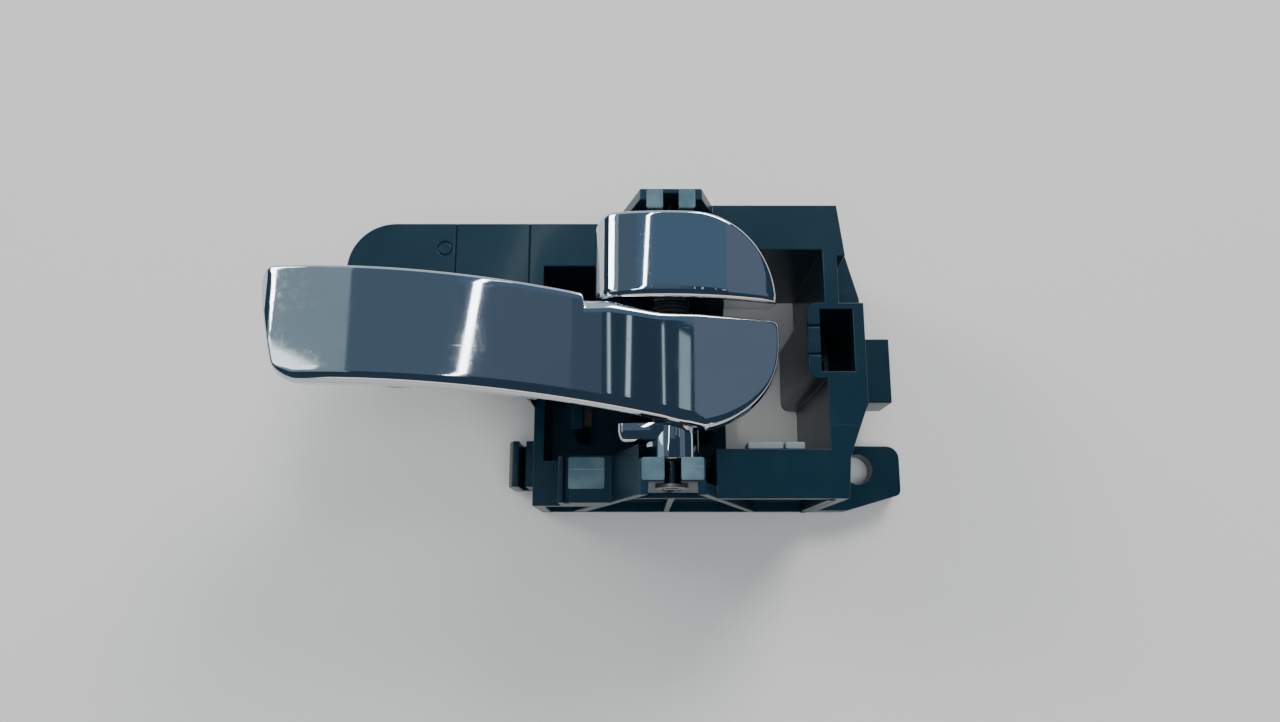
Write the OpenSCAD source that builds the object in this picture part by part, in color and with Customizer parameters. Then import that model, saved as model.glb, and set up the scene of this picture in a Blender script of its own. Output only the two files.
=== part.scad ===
// Interior door handle: a pull lever and a lock knob that turn on one hinge pin in a moulded housing.
// X runs from the grip to the screw ear, Y along the hinge pin, Z out of the door towards the hand.
// The origin lies on the housing's back face, straight behind the hinge and at mid height.

/* [Lever] */
// Hinge axis to the far end of the grip
lever_reach = 82.4; // [68:0.2:100]
// Hinge axis to the tip of the short end
heel_reach = 22; // [19:0.5:24]
// Width of the grip along the hinge, at its crown
lever_w = 22.4; // [18:0.2:28]
// How much wider the grip gets for each millimetre away from the hinge
lever_taper = 0.03; // [0:0.01:0.06]
// Radius of the sweep of the grip, seen from the front
sweep_r = 470; // [300:10:900]
// Hinge axis to the place where the sweep runs level
sweep_x = 92; // [70:1:120]
// Corner radius of the short end, seen from the front
heel_r = 18.6; // [14:0.2:22]
// Front of the grip at its crown, above the back face
crown_z = 56.8; // [54:0.2:62]
// Hinge axis to the crown
crown_off = 40; // [30:1:48]
// Radius of the long bow of the grip
bow_r = 168; // [130:1:220]
// Radius of the rolled end of the grip
roll_r = 5; // [4:0.5:14]
// Depth of the lever's side walls
skirt_h = 8; // [6:0.5:9]
// Thickness of the chromed shells
shell_t = 2; // [1.4:0.1:2.4]

/* [Knob] */
// Height of the knob along the hinge
knob_h = 17.7; // [15:0.1:22]
// Hinge axis to the left end of the knob
knob_left = 15.6; // [12:0.2:17]
// Hinge axis to the tip of the knob
knob_right = 21; // [17.5:0.2:23]
// Front of the knob at its crown
knob_z = 54.5; // [53:0.1:60]
// Radius of the knob's bow
knob_bow_r = 49; // [40:1:70]
// Radius of the knob's large corner
knob_corner_r = 17; // [10:0.5:17]
// Lower edge of the knob's side walls
knob_rim_z = 42.3; // [42:0.1:44]
// Gap between the knob and the lever
piece_gap = 0.7; // [0.4:0.1:1.2]

/* [Frame] */
// Width of the lower and upper rails
rail_w = 10; // [9:0.2:13]
// Hinge axis to the outer face of the left wall
frame_left = 30; // [27:0.5:36]
// Hinge axis to the outer face of the right end
frame_right = 35.6; // [34.5:0.1:37]
// Depth of the right half of the frame
front_z = 41; // [36:0.5:41.6]
// Depth of the wing and of the left half of the frame
ledge_z = 30; // [26:0.5:33]
// Depth of the lower left corner
step_z = 21; // [17:0.5:25]
// Depth of the two boss towers that carry the pin
boss_z = 50; // [48.5:0.5:52]
// Half the width of a boss tower at its top
boss_hw = 6.3; // [5.5:0.1:7.4]
// Sideways run of a tower's flanks for each millimetre of depth
lean = 0.3; // [0.2:0.01:0.34]
// Wall thickness of the moulding
wall = 2.4; // [1.8:0.1:2.6]
// Thickness of the closed floor behind the hinge
floor_t = 2.5; // [2:0.1:3.5]
// Hinge axis to the free edge of the floor
floor_reach = 14.5; // [13:0.5:18]
// Depth of the ribbed recess in the outer sides of the rails
recess = 2.5; // [2:0.1:2.9]
// Clearance between the lever and the lower rail
side_gap = 2.5; // [2:0.1:6]
// How far the knob laps over the upper rail
knob_lap = 3.7; // [1:0.1:4.5]

/* [Wing, tongue, hook and ear] */
// Hinge axis to the far end of the wing
wing_reach = 71.5; // [60:0.5:84]
// Height of the wing along the hinge
wing_h = 36; // [26:0.5:40]
// Corner radius of the wing
wing_r = 10.5; // [6:0.5:16]
// Depth of the wing's rim
wing_rim = 8; // [5:0.5:10]
// Hinge axis to the end of the locating tongue
tongue_reach = 51.3; // [46:0.1:60]
// Width of the tongue
tongue_w = 15; // [10:0.5:15.5]
// Front face of the tongue
tongue_z = 17.5; // [14:0.5:24]
// Thickness of the tongue
tongue_t = 11.5; // [9:0.5:13]
// Hinge axis to the outer face of the snap hook
hook_reach = 36.7; // [35.5:0.1:44]
// Width of the snap hook
hook_w = 10.6; // [8:0.2:14]
// Depth of the snap hook
hook_z = 12; // [8:0.5:16]
// Thickness of the ear
ear_t = 6; // [4:0.5:8]
// Hinge axis to the end of the ear
ear_reach = 55.2; // [52:0.1:64]
// Hinge axis to the ear's screw hole
ear_hole_x = 45.3; // [44:0.1:50]
// Lower outer face of the frame to the screw hole
ear_hole_up = 9.7; // [7:0.1:12]
// Radius of the screw hole
ear_hole_r = 3.5; // [2.5:0.1:4.2]

/* [Screw well] */
// Hinge axis to the middle of the well
well_x = 34.5; // [34:0.1:36]
// Middle of the well along the hinge
well_y = 1.5; // [-2:0.1:4]
// Inner width of the well
well_w = 6.8; // [6:0.1:7.6]
// Inner height of the well
well_h = 13.2; // [11:0.1:16]
// Depth at which the shelf inside the well carries the nut
shelf_z = 14; // [10:0.5:30]
// Radius of the nut's threaded hole
nut_r = 2.1; // [1.6:0.1:2.6]
// Length of the nut's threaded collar with its plate
nut_l = 3; // [2:0.1:4]
// Thickness of the nut's sheet steel
sheet_t = 0.8; // [0.5:0.1:1.2]

/* [Hinge] */
// Hinge axis above the back face
hinge_z = 43; // [42:0.1:44.5]
// Radius of the hinge pin
pin_r = 2; // [1.6:0.1:2.4]
// Length of each lug along the pin
lug_l = 4.5; // [3.5:0.1:5]
// Width of the slot through which the pin is pressed in
slot_w = 3.1; // [2:0.1:3.1]
// Running clearance around the pin
pin_fit = 0.05; // [0.02:0.01:0.1]
// Wall of the bushes
bush_t = 0.75; // [0.5:0.05:1]
// Length of a bush's sleeve
bush_l = 6; // [3:0.5:7.5]
// Thickness of a bush's flange and of the thrust washer
flange_t = 0.8; // [0.5:0.1:1.2]
// End play between pieces that turn against each other
end_play = 0.15; // [0.05:0.01:0.3]
// Radius of the hubs
hub_r = 4; // [3.5:0.1:4.2]
// Radius of the lever's chromed collar
collar_r = 5.4; // [5:0.1:6]

/* [Arms and stops] */
// Hinge axis to the latch cable's socket
pull_r = 23; // [18:0.5:25]
// Hinge axis to the lock cable's socket
lock_r = 20; // [15:0.5:24]
// Radius of the round arm ends
arm_end_r = 4; // [3.4:0.1:4.5]
// Radius of the cable sockets
socket_r = 2.2; // [1.5:0.1:2.5]
// Thickness of the arms along the pin
arm_t = 4; // [3:0.1:5]
// How far the lever opens, in degrees
open_angle = 36; // [25:1:38]
// How far the knob tips to lock, in degrees
lock_angle = 16; // [8:1:18]
// Thickness of the rubber bumpers
bumper_t = 2.2; // [1.5:0.1:3]
// Clearance between an arm and its bumper
stop_gap = 0.3; // [0.2:0.05:0.6]
// Radius of the return spring's wire
wire_r = 0.6; // [0.4:0.05:0.7]
// Number of turns of the return spring
spring_turns = 5; // [3:1:6]

/* [Hidden] */
$fn = 48;
eps = 0.01;
over = 1;

// Layout along the hinge: everything follows from the lever, the knob and the rails.
heel_extra = 2.6;
tip_down = 1.9;
window_h = side_gap + lever_w + heel_extra + piece_gap + knob_h - knob_lap;
window_top = window_h / 2;
window_low = -window_top;
frame_top = window_top + rail_w;
frame_low = -frame_top;
lever_low = window_low + side_gap;
lever_top = lever_low + lever_w + heel_extra;
knob_low = lever_top + piece_gap;
knob_top = knob_low + knob_h;
lug_low = frame_low + recess + lug_l;
lug_top = frame_top - lug_l;
washer_low = lever_top - flange_t / 2;
washer_top = washer_low + flange_t;

// Right end of the frame.
window_right = 32.2;
neck_x = window_right + 3;
well_left = well_x - well_w / 2 - 2.7;
well_right = well_x + well_w / 2 + wall;
well_low = well_y - well_h / 2 - 1.5;
well_top = well_y + well_h / 2 + 1.4;
well_corner = 2;
flange_z = 28;
lip_w = 2.2;
flange_out = well_right + lip_w;
notch_w = 0.5;

// Wing.
wing_ribs = 3;
line_x = 1;
ring_x = 19.8;
ring_y = 5.8;
ring_r = 1.7;
ring_w = 0.3;
gusset = 4.2;

// Rails.
rib_t = 1.3;
flank_t = 1.6;
base_rim = 1.6;
step_w = 6.3;
groove_w = 1.2;
web_t = 2;
bar_z = 41.6;
bar_d = 1.1;
lug_hw = boss_hw - flank_t;
function foot(z) = boss_hw + lean * (boss_z - z);

// Hubs and bushes.
bush_r = pin_r + pin_fit;
bush_out = bush_r + bush_t;
bush_flange_r = bush_out + 0.9;
seat_r = pin_r + 0.02;
core_gap = 0.15;
hub_clear = 1.2;
core_low = lug_low + end_play + flange_t;
core_top = washer_low - end_play - flange_t;
knob_core_low = washer_top + end_play + flange_t;
knob_core_top = lug_top - end_play - flange_t;

// Ribs of the lever's core, the liner behind them and the ribs of the knob's core.
rib_reach = 28;
rib_heel = 14;
rib_knee = 9;
rib_in = 4;
block_left = 8;
block_right = 11;
liner_back = 0.4;
liner_t = 2.2;
knob_rib = 2.4;
knob_rib_in = 0.4;
knob_rib_right = 17;

// Arms, at rest and at the end of their travel.
pull_y = -12;
lock_y = 14;
pull_rest = 4;
arm_taper = 0.4;
cam_y = 19.2;
cam_r = 8;
cam_t = 3.4;
notch_r = 1.3;
stop_w = arm_t + 2;
stop_t = 2.4;
bumper_r = 2.2;
bumper_up = 0.8;
pull_rest_x = pull_r * sin(pull_rest) + arm_end_r + stop_gap;
pull_open_x = pull_r * sin(open_angle - pull_rest) + arm_end_r + stop_gap;
pull_open_z = hinge_z - pull_r * cos(open_angle - pull_rest);
pull_rest_z = hinge_z - pull_r * cos(pull_rest);
lock_rest_x = arm_end_r + stop_gap;
lock_rest_z = hinge_z - lock_r;

// Return spring on the lever's hub, and the leaf spring under the knob's cam.
coil_r = hub_r + 0.5 + wire_r;
pitch = 2 * wire_r + 0.2;
spring_low = pull_y + arm_t / 2 + 1.2;
spring_top = spring_low + pitch * spring_turns + wire_r;
leg_gap = 0.1;
leg_x = coil_r + wire_r + leg_gap;
leg_z = hinge_z - coil_r - 11;
leg_l = 9;
leg_end_y = spring_low + pitch * (spring_turns - 0.5);
tab_w = 2.4;
leaf_t = 0.5;
leaf_x = 8.5;
leaf_drop = 2.2;
leaf_bump = 0.9;
leaf_bump_hw = 1.6;
leaf_top = hinge_z - cam_r - 0.25;
leaf_foot_z = 9;
leaf_foot_t = 1.8;

// Bow and roll of the two chromed shells, in the plane across the hinge.
lever_c = [-crown_off, crown_z - bow_r];
lever_tilt = asin((lever_reach - roll_r - crown_off) / (bow_r - roll_r));
lever_roll_c = lever_c + (bow_r - roll_r) * [-sin(lever_tilt), cos(lever_tilt)];
knob_crown = 1.2;
knob_roll_r = 7;
knob_c = [-knob_crown, knob_z - knob_bow_r];
knob_tilt = asin((knob_left - knob_roll_r - knob_crown) / (knob_bow_r - knob_roll_r));
knob_roll_c = knob_c + (knob_bow_r - knob_roll_r) * [-sin(knob_tilt), cos(knob_tilt)];

// Points along an arc, from angle a to angle b.
function arc(c, r, a, b, n) =
    [for (i = [0:n]) c + r * [cos(a + (b - a) * i / n), sin(a + (b - a) * i / n)]];

// Front line of a bowed shell from its right end to its rolled left end, moved inwards by an inset.
function bow(c, r, roll_c, roll_r, tilt, right, inset) = concat(
    arc(c, r - inset, acos((right - c[0]) / (r - inset)), 90 + tilt, 24),
    arc(roll_c, roll_r - inset, 90 + tilt, 180, 8));
function lever_bow(inset) =
    bow(lever_c, bow_r, lever_roll_c, roll_r, lever_tilt, heel_reach + over, inset);
function knob_bow(inset) =
    bow(knob_c, knob_bow_r, knob_roll_c, knob_roll_r, knob_tilt, knob_right + over, inset);
// A line from left to right that runs parallel to the lever's bow at a depth below its front.
function lever_under(depth, left, right) = let (r = bow_r - depth)
    arc(lever_c, r, acos((left + crown_off) / r), acos((right + crown_off) / r), 24);
function lever_front(x) = lever_c[1] + sqrt(bow_r * bow_r - (x + crown_off) * (x + crown_off));

// Plan of the lever: a swept band that ends in a rounded heel on the right.
mid_hinge = lever_low + lever_w / 2 + 0.8;
heel_x = heel_reach - heel_r;
heel_y = lever_low + heel_r;
tip_y = lever_top - tip_down;
tip_r = 1.4;
ledge_x = knob_left + 2;
top_r = 3.2;
low_r = 6;
slant = 4;
top_x = -lever_reach + top_r;
low_x = -lever_reach + slant + low_r;
function mid(x) = mid_hinge + (sweep_x * sweep_x - (x + sweep_x) * (x + sweep_x)) / (2 * sweep_r);
function half_w(x) = (lever_w - lever_taper * (x + crown_off)) / 2;
function band_top(x) = mid(x) + half_w(x);
function band_low(x) = mid(x) - half_w(x);
function lever_edge(x) = max(tip_y, min(band_top(x), lever_top));
function along(a, b, n) = [for (i = [0:n]) a + (b - a) * i / n];
function lever_plan(inset) = concat(
    arc([top_x, band_top(top_x) - top_r], top_r - inset, 195, 92, 6),
    [for (x = along(top_x + over, -ledge_x - inset, 20)) [x, band_top(x) - inset]],
    [for (x = along(-ledge_x - inset + eps, heel_reach - inset - tip_r - eps, 16))
        [x, lever_edge(x + inset) - inset]],
    arc([heel_reach - inset - tip_r, tip_y - inset - tip_r], tip_r, 90, 0, 5),
    arc([heel_x, heel_y], heel_r - inset, 0, -78, 20),
    [for (x = along(heel_x + over, low_x, 24)) [x, band_low(x) + inset]],
    arc([low_x, band_low(low_x) + low_r], low_r - inset, 265, 195, 8));

// Plan of the knob: a block with one large quarter-round corner.
knob_small_r = 3.5;
knob_sharp_r = 2.3;
function knob_plan(inset) = concat(
    arc([-knob_left + knob_small_r, knob_top - knob_small_r], knob_small_r - inset, 180, 90, 6),
    arc([knob_right - knob_corner_r, knob_top - knob_corner_r], knob_corner_r - inset,
        90, asin((knob_low + inset - knob_top + knob_corner_r) / (knob_corner_r - inset)), 20),
    arc([-knob_left + knob_sharp_r, knob_low + knob_sharp_r], max(eps, knob_sharp_r - inset), 270, 180, 4));

// Solids from two opposite corners, and from outlines across and along the hinge.
module block(low, high) translate(low) cube(high - low);
module prism_y(points, y0, y1) translate([0, y1, 0]) rotate([90, 0, 0])
    linear_extrude(y1 - y0) polygon(points);
module prism_z(points, z0, z1) translate([0, 0, z0]) linear_extrude(z1 - z0) polygon(points);
// A cylinder along the hinge at x, z.
module rod(r, y0, y1, x = 0, z = hinge_z) translate([x, y1, z]) rotate([90, 0, 0])
    cylinder(r = r, h = y1 - y0);
// A slab whose two left corners are round.
module left_round(low, high, r) {
    block([low[0] + r, low[1], low[2]], high);
    block([low[0], low[1] + r, low[2]], [low[0] + r + eps, high[1] - r, high[2]]);
    for (y = [low[1] + r, high[1] - r])
        translate([low[0] + r, y, low[2]]) cylinder(r = r, h = high[2] - low[2]);
}

// ---- Housing ----

module lower_rail() {
    difference() {
        prism_y([
            [-frame_left, 0], [-frame_left, step_z],
            [step_w - frame_left, step_z], [step_w - frame_left, ledge_z],
            [-foot(ledge_z), ledge_z], [-boss_hw, boss_z], [boss_hw, boss_z], [foot(front_z), front_z],
            [frame_right, front_z], [frame_right, 0]], frame_low, window_low);
        rail_cells(frame_low - over, frame_low + recess, boss_z + over);
        rail_back(frame_low + recess + web_t, window_low - wall, step_z - wall);
        // Room for the lever's collar, and the dark gap between the lugs and the right half.
        block([-collar_r - hub_clear, lug_low, hinge_z - collar_r - hub_clear],
              [foot(front_z), window_low + over, boss_z + over]);
        block([boss_hw, frame_low + recess, ledge_z - wall],
              [foot(front_z), window_low + over, boss_z + over]);
        block([step_w - frame_left + groove_w, frame_low - over, ledge_z - wall],
              [step_w - frame_left + 2 * groove_w, window_low + over, ledge_z + over]);
        pin_seat(frame_low + recess - over, lug_low + over);
    }
    bar_low = [-foot(bar_z) + eps, bar_z - rib_t];
    prism_y([bar_low, [foot(bar_z), bar_low[1]], [foot(bar_z), bar_z], [bar_low[0], bar_z]],
            frame_low, frame_low + bar_d);
    block([-rib_t / 2, frame_low, base_rim - eps], [rib_t / 2, frame_low + bar_d, bar_z]);
}

module upper_rail() {
    difference() {
        union() {
            block([-frame_left, window_top, 0], [foot(front_z) + eps, frame_top, ledge_z]);
            block([foot(front_z), window_top, 0], [frame_right, frame_top, front_z]);
            prism_y([[-foot(ledge_z - over), ledge_z - over], [-boss_hw, boss_z], [boss_hw, boss_z],
                     [foot(ledge_z - over), ledge_z - over]], frame_top - wall, frame_top);
            block([-lug_hw, lug_top, ledge_z - over], [lug_hw, frame_top, boss_z]);
        }
        rail_cells(frame_top - recess + web_t / 2, frame_top + over, ledge_z - wall);
        rail_back(window_top + wall, frame_top - recess, ledge_z - wall);
        pin_seat(lug_top - over, frame_top - web_t / 2);
    }
}

// Slot and seat of the hinge pin in a boss.
module pin_seat(y0, y1) {
    rod(seat_r, y0, y1);
    block([-slot_w / 2, y0, hinge_z], [slot_w / 2, y1, boss_z + over]);
}

// Ribbed cells in the outer side of a rail: left wedge, centre and right, up to a top for the centre.
module rail_cells(y0, y1, top) {
    z1 = step_z - wall;
    z2 = front_z - wall;
    prism_y([[wall - frame_left, base_rim], [wall - frame_left, z1], [-foot(z1) - rib_t, z1],
             [-foot(base_rim) - rib_t, base_rim]], y0, y1);
    prism_y([[flank_t - foot(base_rim), base_rim], [flank_t - foot(top), top], [foot(top) - flank_t, top],
             [foot(base_rim) - flank_t, base_rim]], y0, y1);
    prism_y([[foot(base_rim), base_rim], [foot(z2), z2], [frame_right - wall, z2],
             [frame_right - wall, base_rim]], y0, y1);
}

// Hollows of a rail, open at the back.
module rail_back(y0, y1, left_top) {
    block([wall - frame_left, y0, -over], [-foot(ledge_z), y1, left_top]);
    block([wall - foot(ledge_z), y0, -over], [foot(ledge_z) - wall, y1, ledge_z - wall]);
    block([foot(ledge_z), y0, -over], [frame_right - wall, y1, ledge_z - wall]);
}

// Right end: a waisted rail with a slanted flange and the screw well.
module right_end() {
    waist = [[frame_right, frame_low], [frame_right + 0.6, frame_low + 8.4],
             [well_right - 0.5, well_low - 6.4], [well_right, well_low - 5.4]];
    crest = [[neck_x, well_top], [neck_x, frame_top - 11.4], [frame_right + 1.4, frame_top - 11.4],
             [frame_right, frame_top - eps]];
    lip = [[flange_out, well_top - over], [flange_out, well_top + 4.6], [flange_out - 2.7, well_top + 14.6]];
    difference() {
        union() {
            prism_z(concat([[window_right, frame_low + eps]], waist, [[well_right, well_top]], crest,
                           [[window_right, frame_top - eps]]), 0, front_z);
            prism_z(concat([[window_right, well_top - over]], lip,
                           [[frame_right, frame_top - eps], [window_right, frame_top - eps]]), 0, flange_z);
            left_round([well_left, well_low, 0], [well_right, well_top, front_z], well_corner);
        }
        block([well_x - well_w / 2, well_y - well_h / 2, shelf_z],
              [well_x + well_w / 2, well_y + well_h / 2, front_z + over]);
        block([well_x - well_w / 2, well_y - well_h / 2, -over],
              [well_x + well_w / 2, well_y + well_h / 2, shelf_z - wall]);
        translate([well_x, well_y, shelf_z - wall - over])
            cylinder(r = nut_r + sheet_t + stop_gap, h = wall + 2 * over);
        // Two fine notches across the left rim of the well.
        for (y = [well_y + 3, well_y - 3])
            block([well_left - over, y - notch_w / 2, front_z - notch_w],
                  [well_x - well_w / 2 + over, y + notch_w / 2, front_z + over]);
        block([window_right + wall, well_top + over, -over],
              [flange_out - wall - lip_w, window_top - over, flange_z - wall]);
        block([window_right + flank_t, window_low + over, -over],
              [frame_right - bumper_up, well_low - over, front_z - wall]);
    }
}

module wing() {
    low = [-wing_reach, frame_top - wing_h, ledge_z - wing_rim];
    line_d = 0.15;
    difference() {
        left_round(low, [-frame_left + eps, frame_top, ledge_z], wing_r);
        translate([wall - eps, 0, 0])
            left_round([low[0], low[1] + wall, low[2] - over],
                       [-frame_left - 2 * wall, frame_top - wall, ledge_z - wall], wing_r - wall);
        // A fine round groove in the wing's front.
        translate([-frame_left - ring_x, frame_top - ring_y, ledge_z - ring_w]) difference() {
            cylinder(r = ring_r, h = over);
            translate([0, 0, -over]) cylinder(r = ring_r - ring_w, h = 3 * over);
        }
        // Two fine lines across the wing's front.
        for (x = [-frame_left - line_x, -frame_left - line_x - ring_x + 2 * ring_r])
            block([x, low[1] - over, ledge_z - line_d], [x + line_d, frame_top + over, ledge_z + over]);
    }
    for (i = [1:wing_ribs]) {
        x = -wing_reach + i * (wing_reach - frame_left) / (wing_ribs + 1);
        block([x - rib_t / 2, low[1] + wall - eps, low[2] + over],
              [x + rib_t / 2, frame_top - wall + eps, ledge_z - wall + eps]);
    }
    // Gusset where the wing's lower edge meets the left wall.
    prism_z([[-frame_left - gusset, low[1] + eps], [-frame_left + eps, low[1] - gusset],
             [-frame_left + eps, low[1] + eps]], step_z, ledge_z - over);
}

module left_wall() {
    block([-frame_left, frame_low + eps, 0], [wall - frame_left, frame_top - eps, step_z]);
    block([-frame_left, frame_top - wing_h, step_z - eps], [wall - frame_left, frame_top - eps, ledge_z]);
}

module floor_and_stops() {
    block([-frame_left + eps, window_low - wall, 0], [floor_reach, window_top + wall, floor_t]);
    stop_post(pull_rest_x + bumper_t, pull_y, pull_rest_z + arm_end_r);
    stop_post(-pull_open_x - bumper_t - stop_t, pull_y, pull_open_z + arm_end_r);
    stop_post(-lock_rest_x - bumper_t - stop_t, lock_y, lock_rest_z + arm_end_r);
    // Post that holds the fixed leg of the return spring.
    block([-leg_x - stop_t, spring_low - bumper_up, 0], [-leg_x, spring_low + stop_w / 2, leg_z + stop_t]);
    // Slotted foot of the detent spring.
    difference() {
        block([leaf_x - leaf_foot_t, cam_y - cam_t / 2 - web_t / 2, 0],
              [leaf_x + leaf_t + leaf_foot_t, window_top + eps, leaf_foot_z]);
        block([leaf_x, cam_y - cam_t / 2, floor_t], [leaf_x + leaf_t, cam_y + cam_t / 2, leaf_foot_z + over]);
    }
}
module stop_post(x, y, top) block([x, y - stop_w / 2, 0], [x + stop_t, y + stop_w / 2, top]);

module tongue() {
    z0 = tongue_z - tongue_t;
    difference() {
        block([well_right - eps, -tongue_w / 2, z0], [tongue_reach, tongue_w / 2, tongue_z]);
        block([well_right + wall, wall - tongue_w / 2, z0 - over],
              [tongue_reach - wall, tongue_w / 2 - wall, tongue_z - wall]);
    }
}

module hook() {
    slit = 1.6;
    nose = 2;
    y0 = frame_low + 5;
    difference() {
        block([-hook_reach, y0, 0], [-frame_left + eps, y0 + hook_w, hook_z]);
        block([wall - hook_reach, y0 - over, floor_t],
              [wall + slit - hook_reach, y0 + hook_w + over, hook_z + over]);
        prism_y([[-hook_reach - over, hook_z - nose], [-hook_reach, hook_z - nose],
                 [nose / 2 - hook_reach, hook_z], [nose / 2 - hook_reach, hook_z + over],
                 [-hook_reach - over, hook_z + over]],
                y0 - over, y0 + hook_w + over);
    }
}

module ear() {
    r = 3;
    top = frame_low + ear_hole_up + ear_hole_r + 2;
    difference() {
        prism_z(concat([[frame_right - over, top]], arc([ear_reach - r, top - r], r, 90, 0, 8),
                       arc([ear_reach - r / 2, frame_low + ear_hole_up / 2], r / 2, 0, -70, 4),
                       [[ear_hole_x - r, frame_low], [frame_right - over, frame_low]]), 0, ear_t);
        translate([ear_hole_x, frame_low + ear_hole_up, -over])
            cylinder(r = ear_hole_r, h = ear_t + 2 * over);
    }
}

module housing() color([0.07, 0.08, 0.09]) {
    lower_rail();
    upper_rail();
    left_wall();
    floor_and_stops();
    right_end();
    wing();
    tongue();
    hook();
    ear();
}

// ---- Lever ----

// The lever's outline moved inwards by an inset, down to a depth below its front.
module lever_body(inset, depth) intersection() {
    prism_z(lever_plan(inset), 0, crown_z + over);
    prism_y(concat(lever_bow(inset), lever_under(depth, roll_r / 2 - lever_reach, heel_reach + over)),
            lever_low - over, frame_top);
}

module lever_shell() color([0.72, 0.76, 0.8]) difference() {
    union() {
        difference() {
            lever_body(0, skirt_h);
            intersection() {
                prism_z(lever_plan(shell_t), 0, crown_z + over);
                prism_y(concat(lever_bow(shell_t), [[shell_t - lever_reach, 0], [heel_reach + over, 0]]),
                        lever_low - over, frame_top);
            }
        }
        // Chromed neck and collar that reach down to the lower lug.
        rod(collar_r, lug_low + end_play, lever_low + shell_t);
        prism_y([[-2 * collar_r, hinge_z + flange_t], [-2 * collar_r, hinge_z + hub_r],
                 [0, hinge_z + collar_r], [0, hinge_z - collar_r], [-3 * collar_r / 2, hinge_z - hub_r / 2]],
                window_low + hub_clear / 2, lever_low + shell_t);
    }
    rod(hub_r + core_gap, lug_low - over, lever_top + over);
}

// An arm that hangs from the hinge at an angle and ends in a cable socket.
module arm(reach, angle, y) {
    end = [reach * sin(angle), hinge_z - reach * cos(angle)];
    side = [cos(angle), sin(angle)];
    difference() {
        union() {
            prism_y([[0, hinge_z] - side * (hub_r - arm_taper / 2), end - side * (arm_end_r - arm_taper),
                     end + side * (arm_end_r - arm_taper), [0, hinge_z] + side * (hub_r - arm_taper / 2)],
                    y - arm_t / 2, y + arm_t / 2);
            rod(arm_end_r, y - arm_t / 2, y + arm_t / 2, end[0], end[1]);
        }
        rod(socket_r, y - arm_t / 2 - over, y + arm_t / 2 + over, end[0], end[1]);
    }
}

// Stepped bore of a hub that takes a flanged bush at each end.
module hub_bore(y0, y1) {
    rod(bush_out, y0 - over, y0 + bush_l);
    rod(bush_out - bush_t / 2, y0, y1);
    rod(bush_out, y1 - bush_l, y1 + over);
}

module lever_core() color([0.12, 0.12, 0.13]) difference() {
    union() {
        rod(hub_r, core_low, core_top);
        arm(pull_r, pull_rest, pull_y);
        // Two ribs and a block along the inside of the shell carry the chrome.
        intersection() {
            prism_z(lever_plan(shell_t + core_gap), 0, crown_z);
            union() {
                core_rib(core_top - rib_in);
                core_rib(lever_low + 2 * shell_t);
                block([-block_left, spring_top + stop_gap, hinge_z],
                      [block_right, core_top, shell_under(block_right)]);
                // Tab beside the spring's moving leg, which it pushes round as the lever opens.
                block([leg_x, leg_end_y - wire_r, hinge_z - leg_l],
                      [leg_x + tab_w, spring_top + stop_gap + tab_w, hinge_z + pin_r]);
            }
        }
    }
    hub_bore(core_low, core_top);
}
function shell_under(x) = lever_front(x) - shell_t - core_gap;
module core_rib(y) prism_y(concat(
    [for (x = along(rib_heel, -rib_reach, 16)) [x, shell_under(x)]],
    [[-rib_reach, shell_under(-rib_reach) - skirt_h / 2], [-rib_knee, hinge_z + 1],
     [rib_heel, hinge_z - eps]]), y, y + shell_t);

// Curved sheet that closes the finger side of the grip, left of the core's ribs.
module lever_liner() color([0.1, 0.1, 0.11]) difference() {
    lever_body(shell_t, skirt_h - liner_back);
    prism_y(concat(lever_under(skirt_h - liner_back - liner_t, -lever_reach, heel_reach),
                   [[heel_reach, crown_z + over], [-lever_reach, crown_z + over]]),
            lever_low - over, frame_top);
    block([-rib_reach - core_gap, lever_low - over, 0], [heel_reach + over, frame_top, crown_z + over]);
}

module bush(y, up) {
    dir = up ? 1 : -1;
    difference() {
        union() {
            rod(bush_out, min(y, y - dir * bush_l), max(y, y - dir * bush_l));
            rod(bush_flange_r, min(y, y + dir * flange_t), max(y, y + dir * flange_t));
        }
        rod(bush_r, y - bush_l - over, y + bush_l + over);
    }
}
module lever_bush_lower() color([0.85, 0.85, 0.8]) bush(core_low, false);
module lever_bush_upper() color([0.85, 0.85, 0.8]) bush(core_top, true);

// ---- Knob ----

// The knob's outline moved inwards by an inset, down to a height above the back face.
module knob_body(inset, low) intersection() {
    prism_z(knob_plan(inset), 0, knob_z + over);
    prism_y(concat(knob_bow(inset), [[inset - knob_left, low], [knob_right + over, low]]),
            knob_low - over, knob_top + over);
}

module knob_cap() color([0.72, 0.76, 0.8]) difference() {
    knob_body(0, knob_rim_z);
    knob_body(shell_t, 0);
    rod(hub_r + core_gap, knob_low - over, knob_top + over);
}

module knob_core() color([0.12, 0.12, 0.13]) difference() {
    union() {
        rod(hub_r, knob_core_low, knob_core_top);
        arm(lock_r, 0, lock_y);
        intersection() {
            knob_body(shell_t + core_gap, hinge_z);
            for (y = [knob_low + shell_t + knob_rib_in, knob_top - shell_t - knob_rib_in - knob_rib])
                block([-knob_left, y, hinge_z], [knob_rib_right, y + knob_rib, knob_z]);
        }
        difference() {
            rod(cam_r, cam_y - cam_t / 2, cam_y + cam_t / 2);
            block([-cam_r - over, 0, hinge_z - over], [cam_r + over, frame_top, hinge_z + cam_r + over]);
            for (a = [0, lock_angle])
                rod(notch_r, 0, frame_top, -cam_r * sin(a), hinge_z - cam_r * cos(a));
        }
    }
    hub_bore(knob_core_low, knob_core_top);
}
module knob_bush_lower() color([0.85, 0.85, 0.8]) bush(knob_core_low, false);
module knob_bush_upper() color([0.85, 0.85, 0.8]) bush(knob_core_top, true);

// ---- Hinge pin and what sits on it ----

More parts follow.
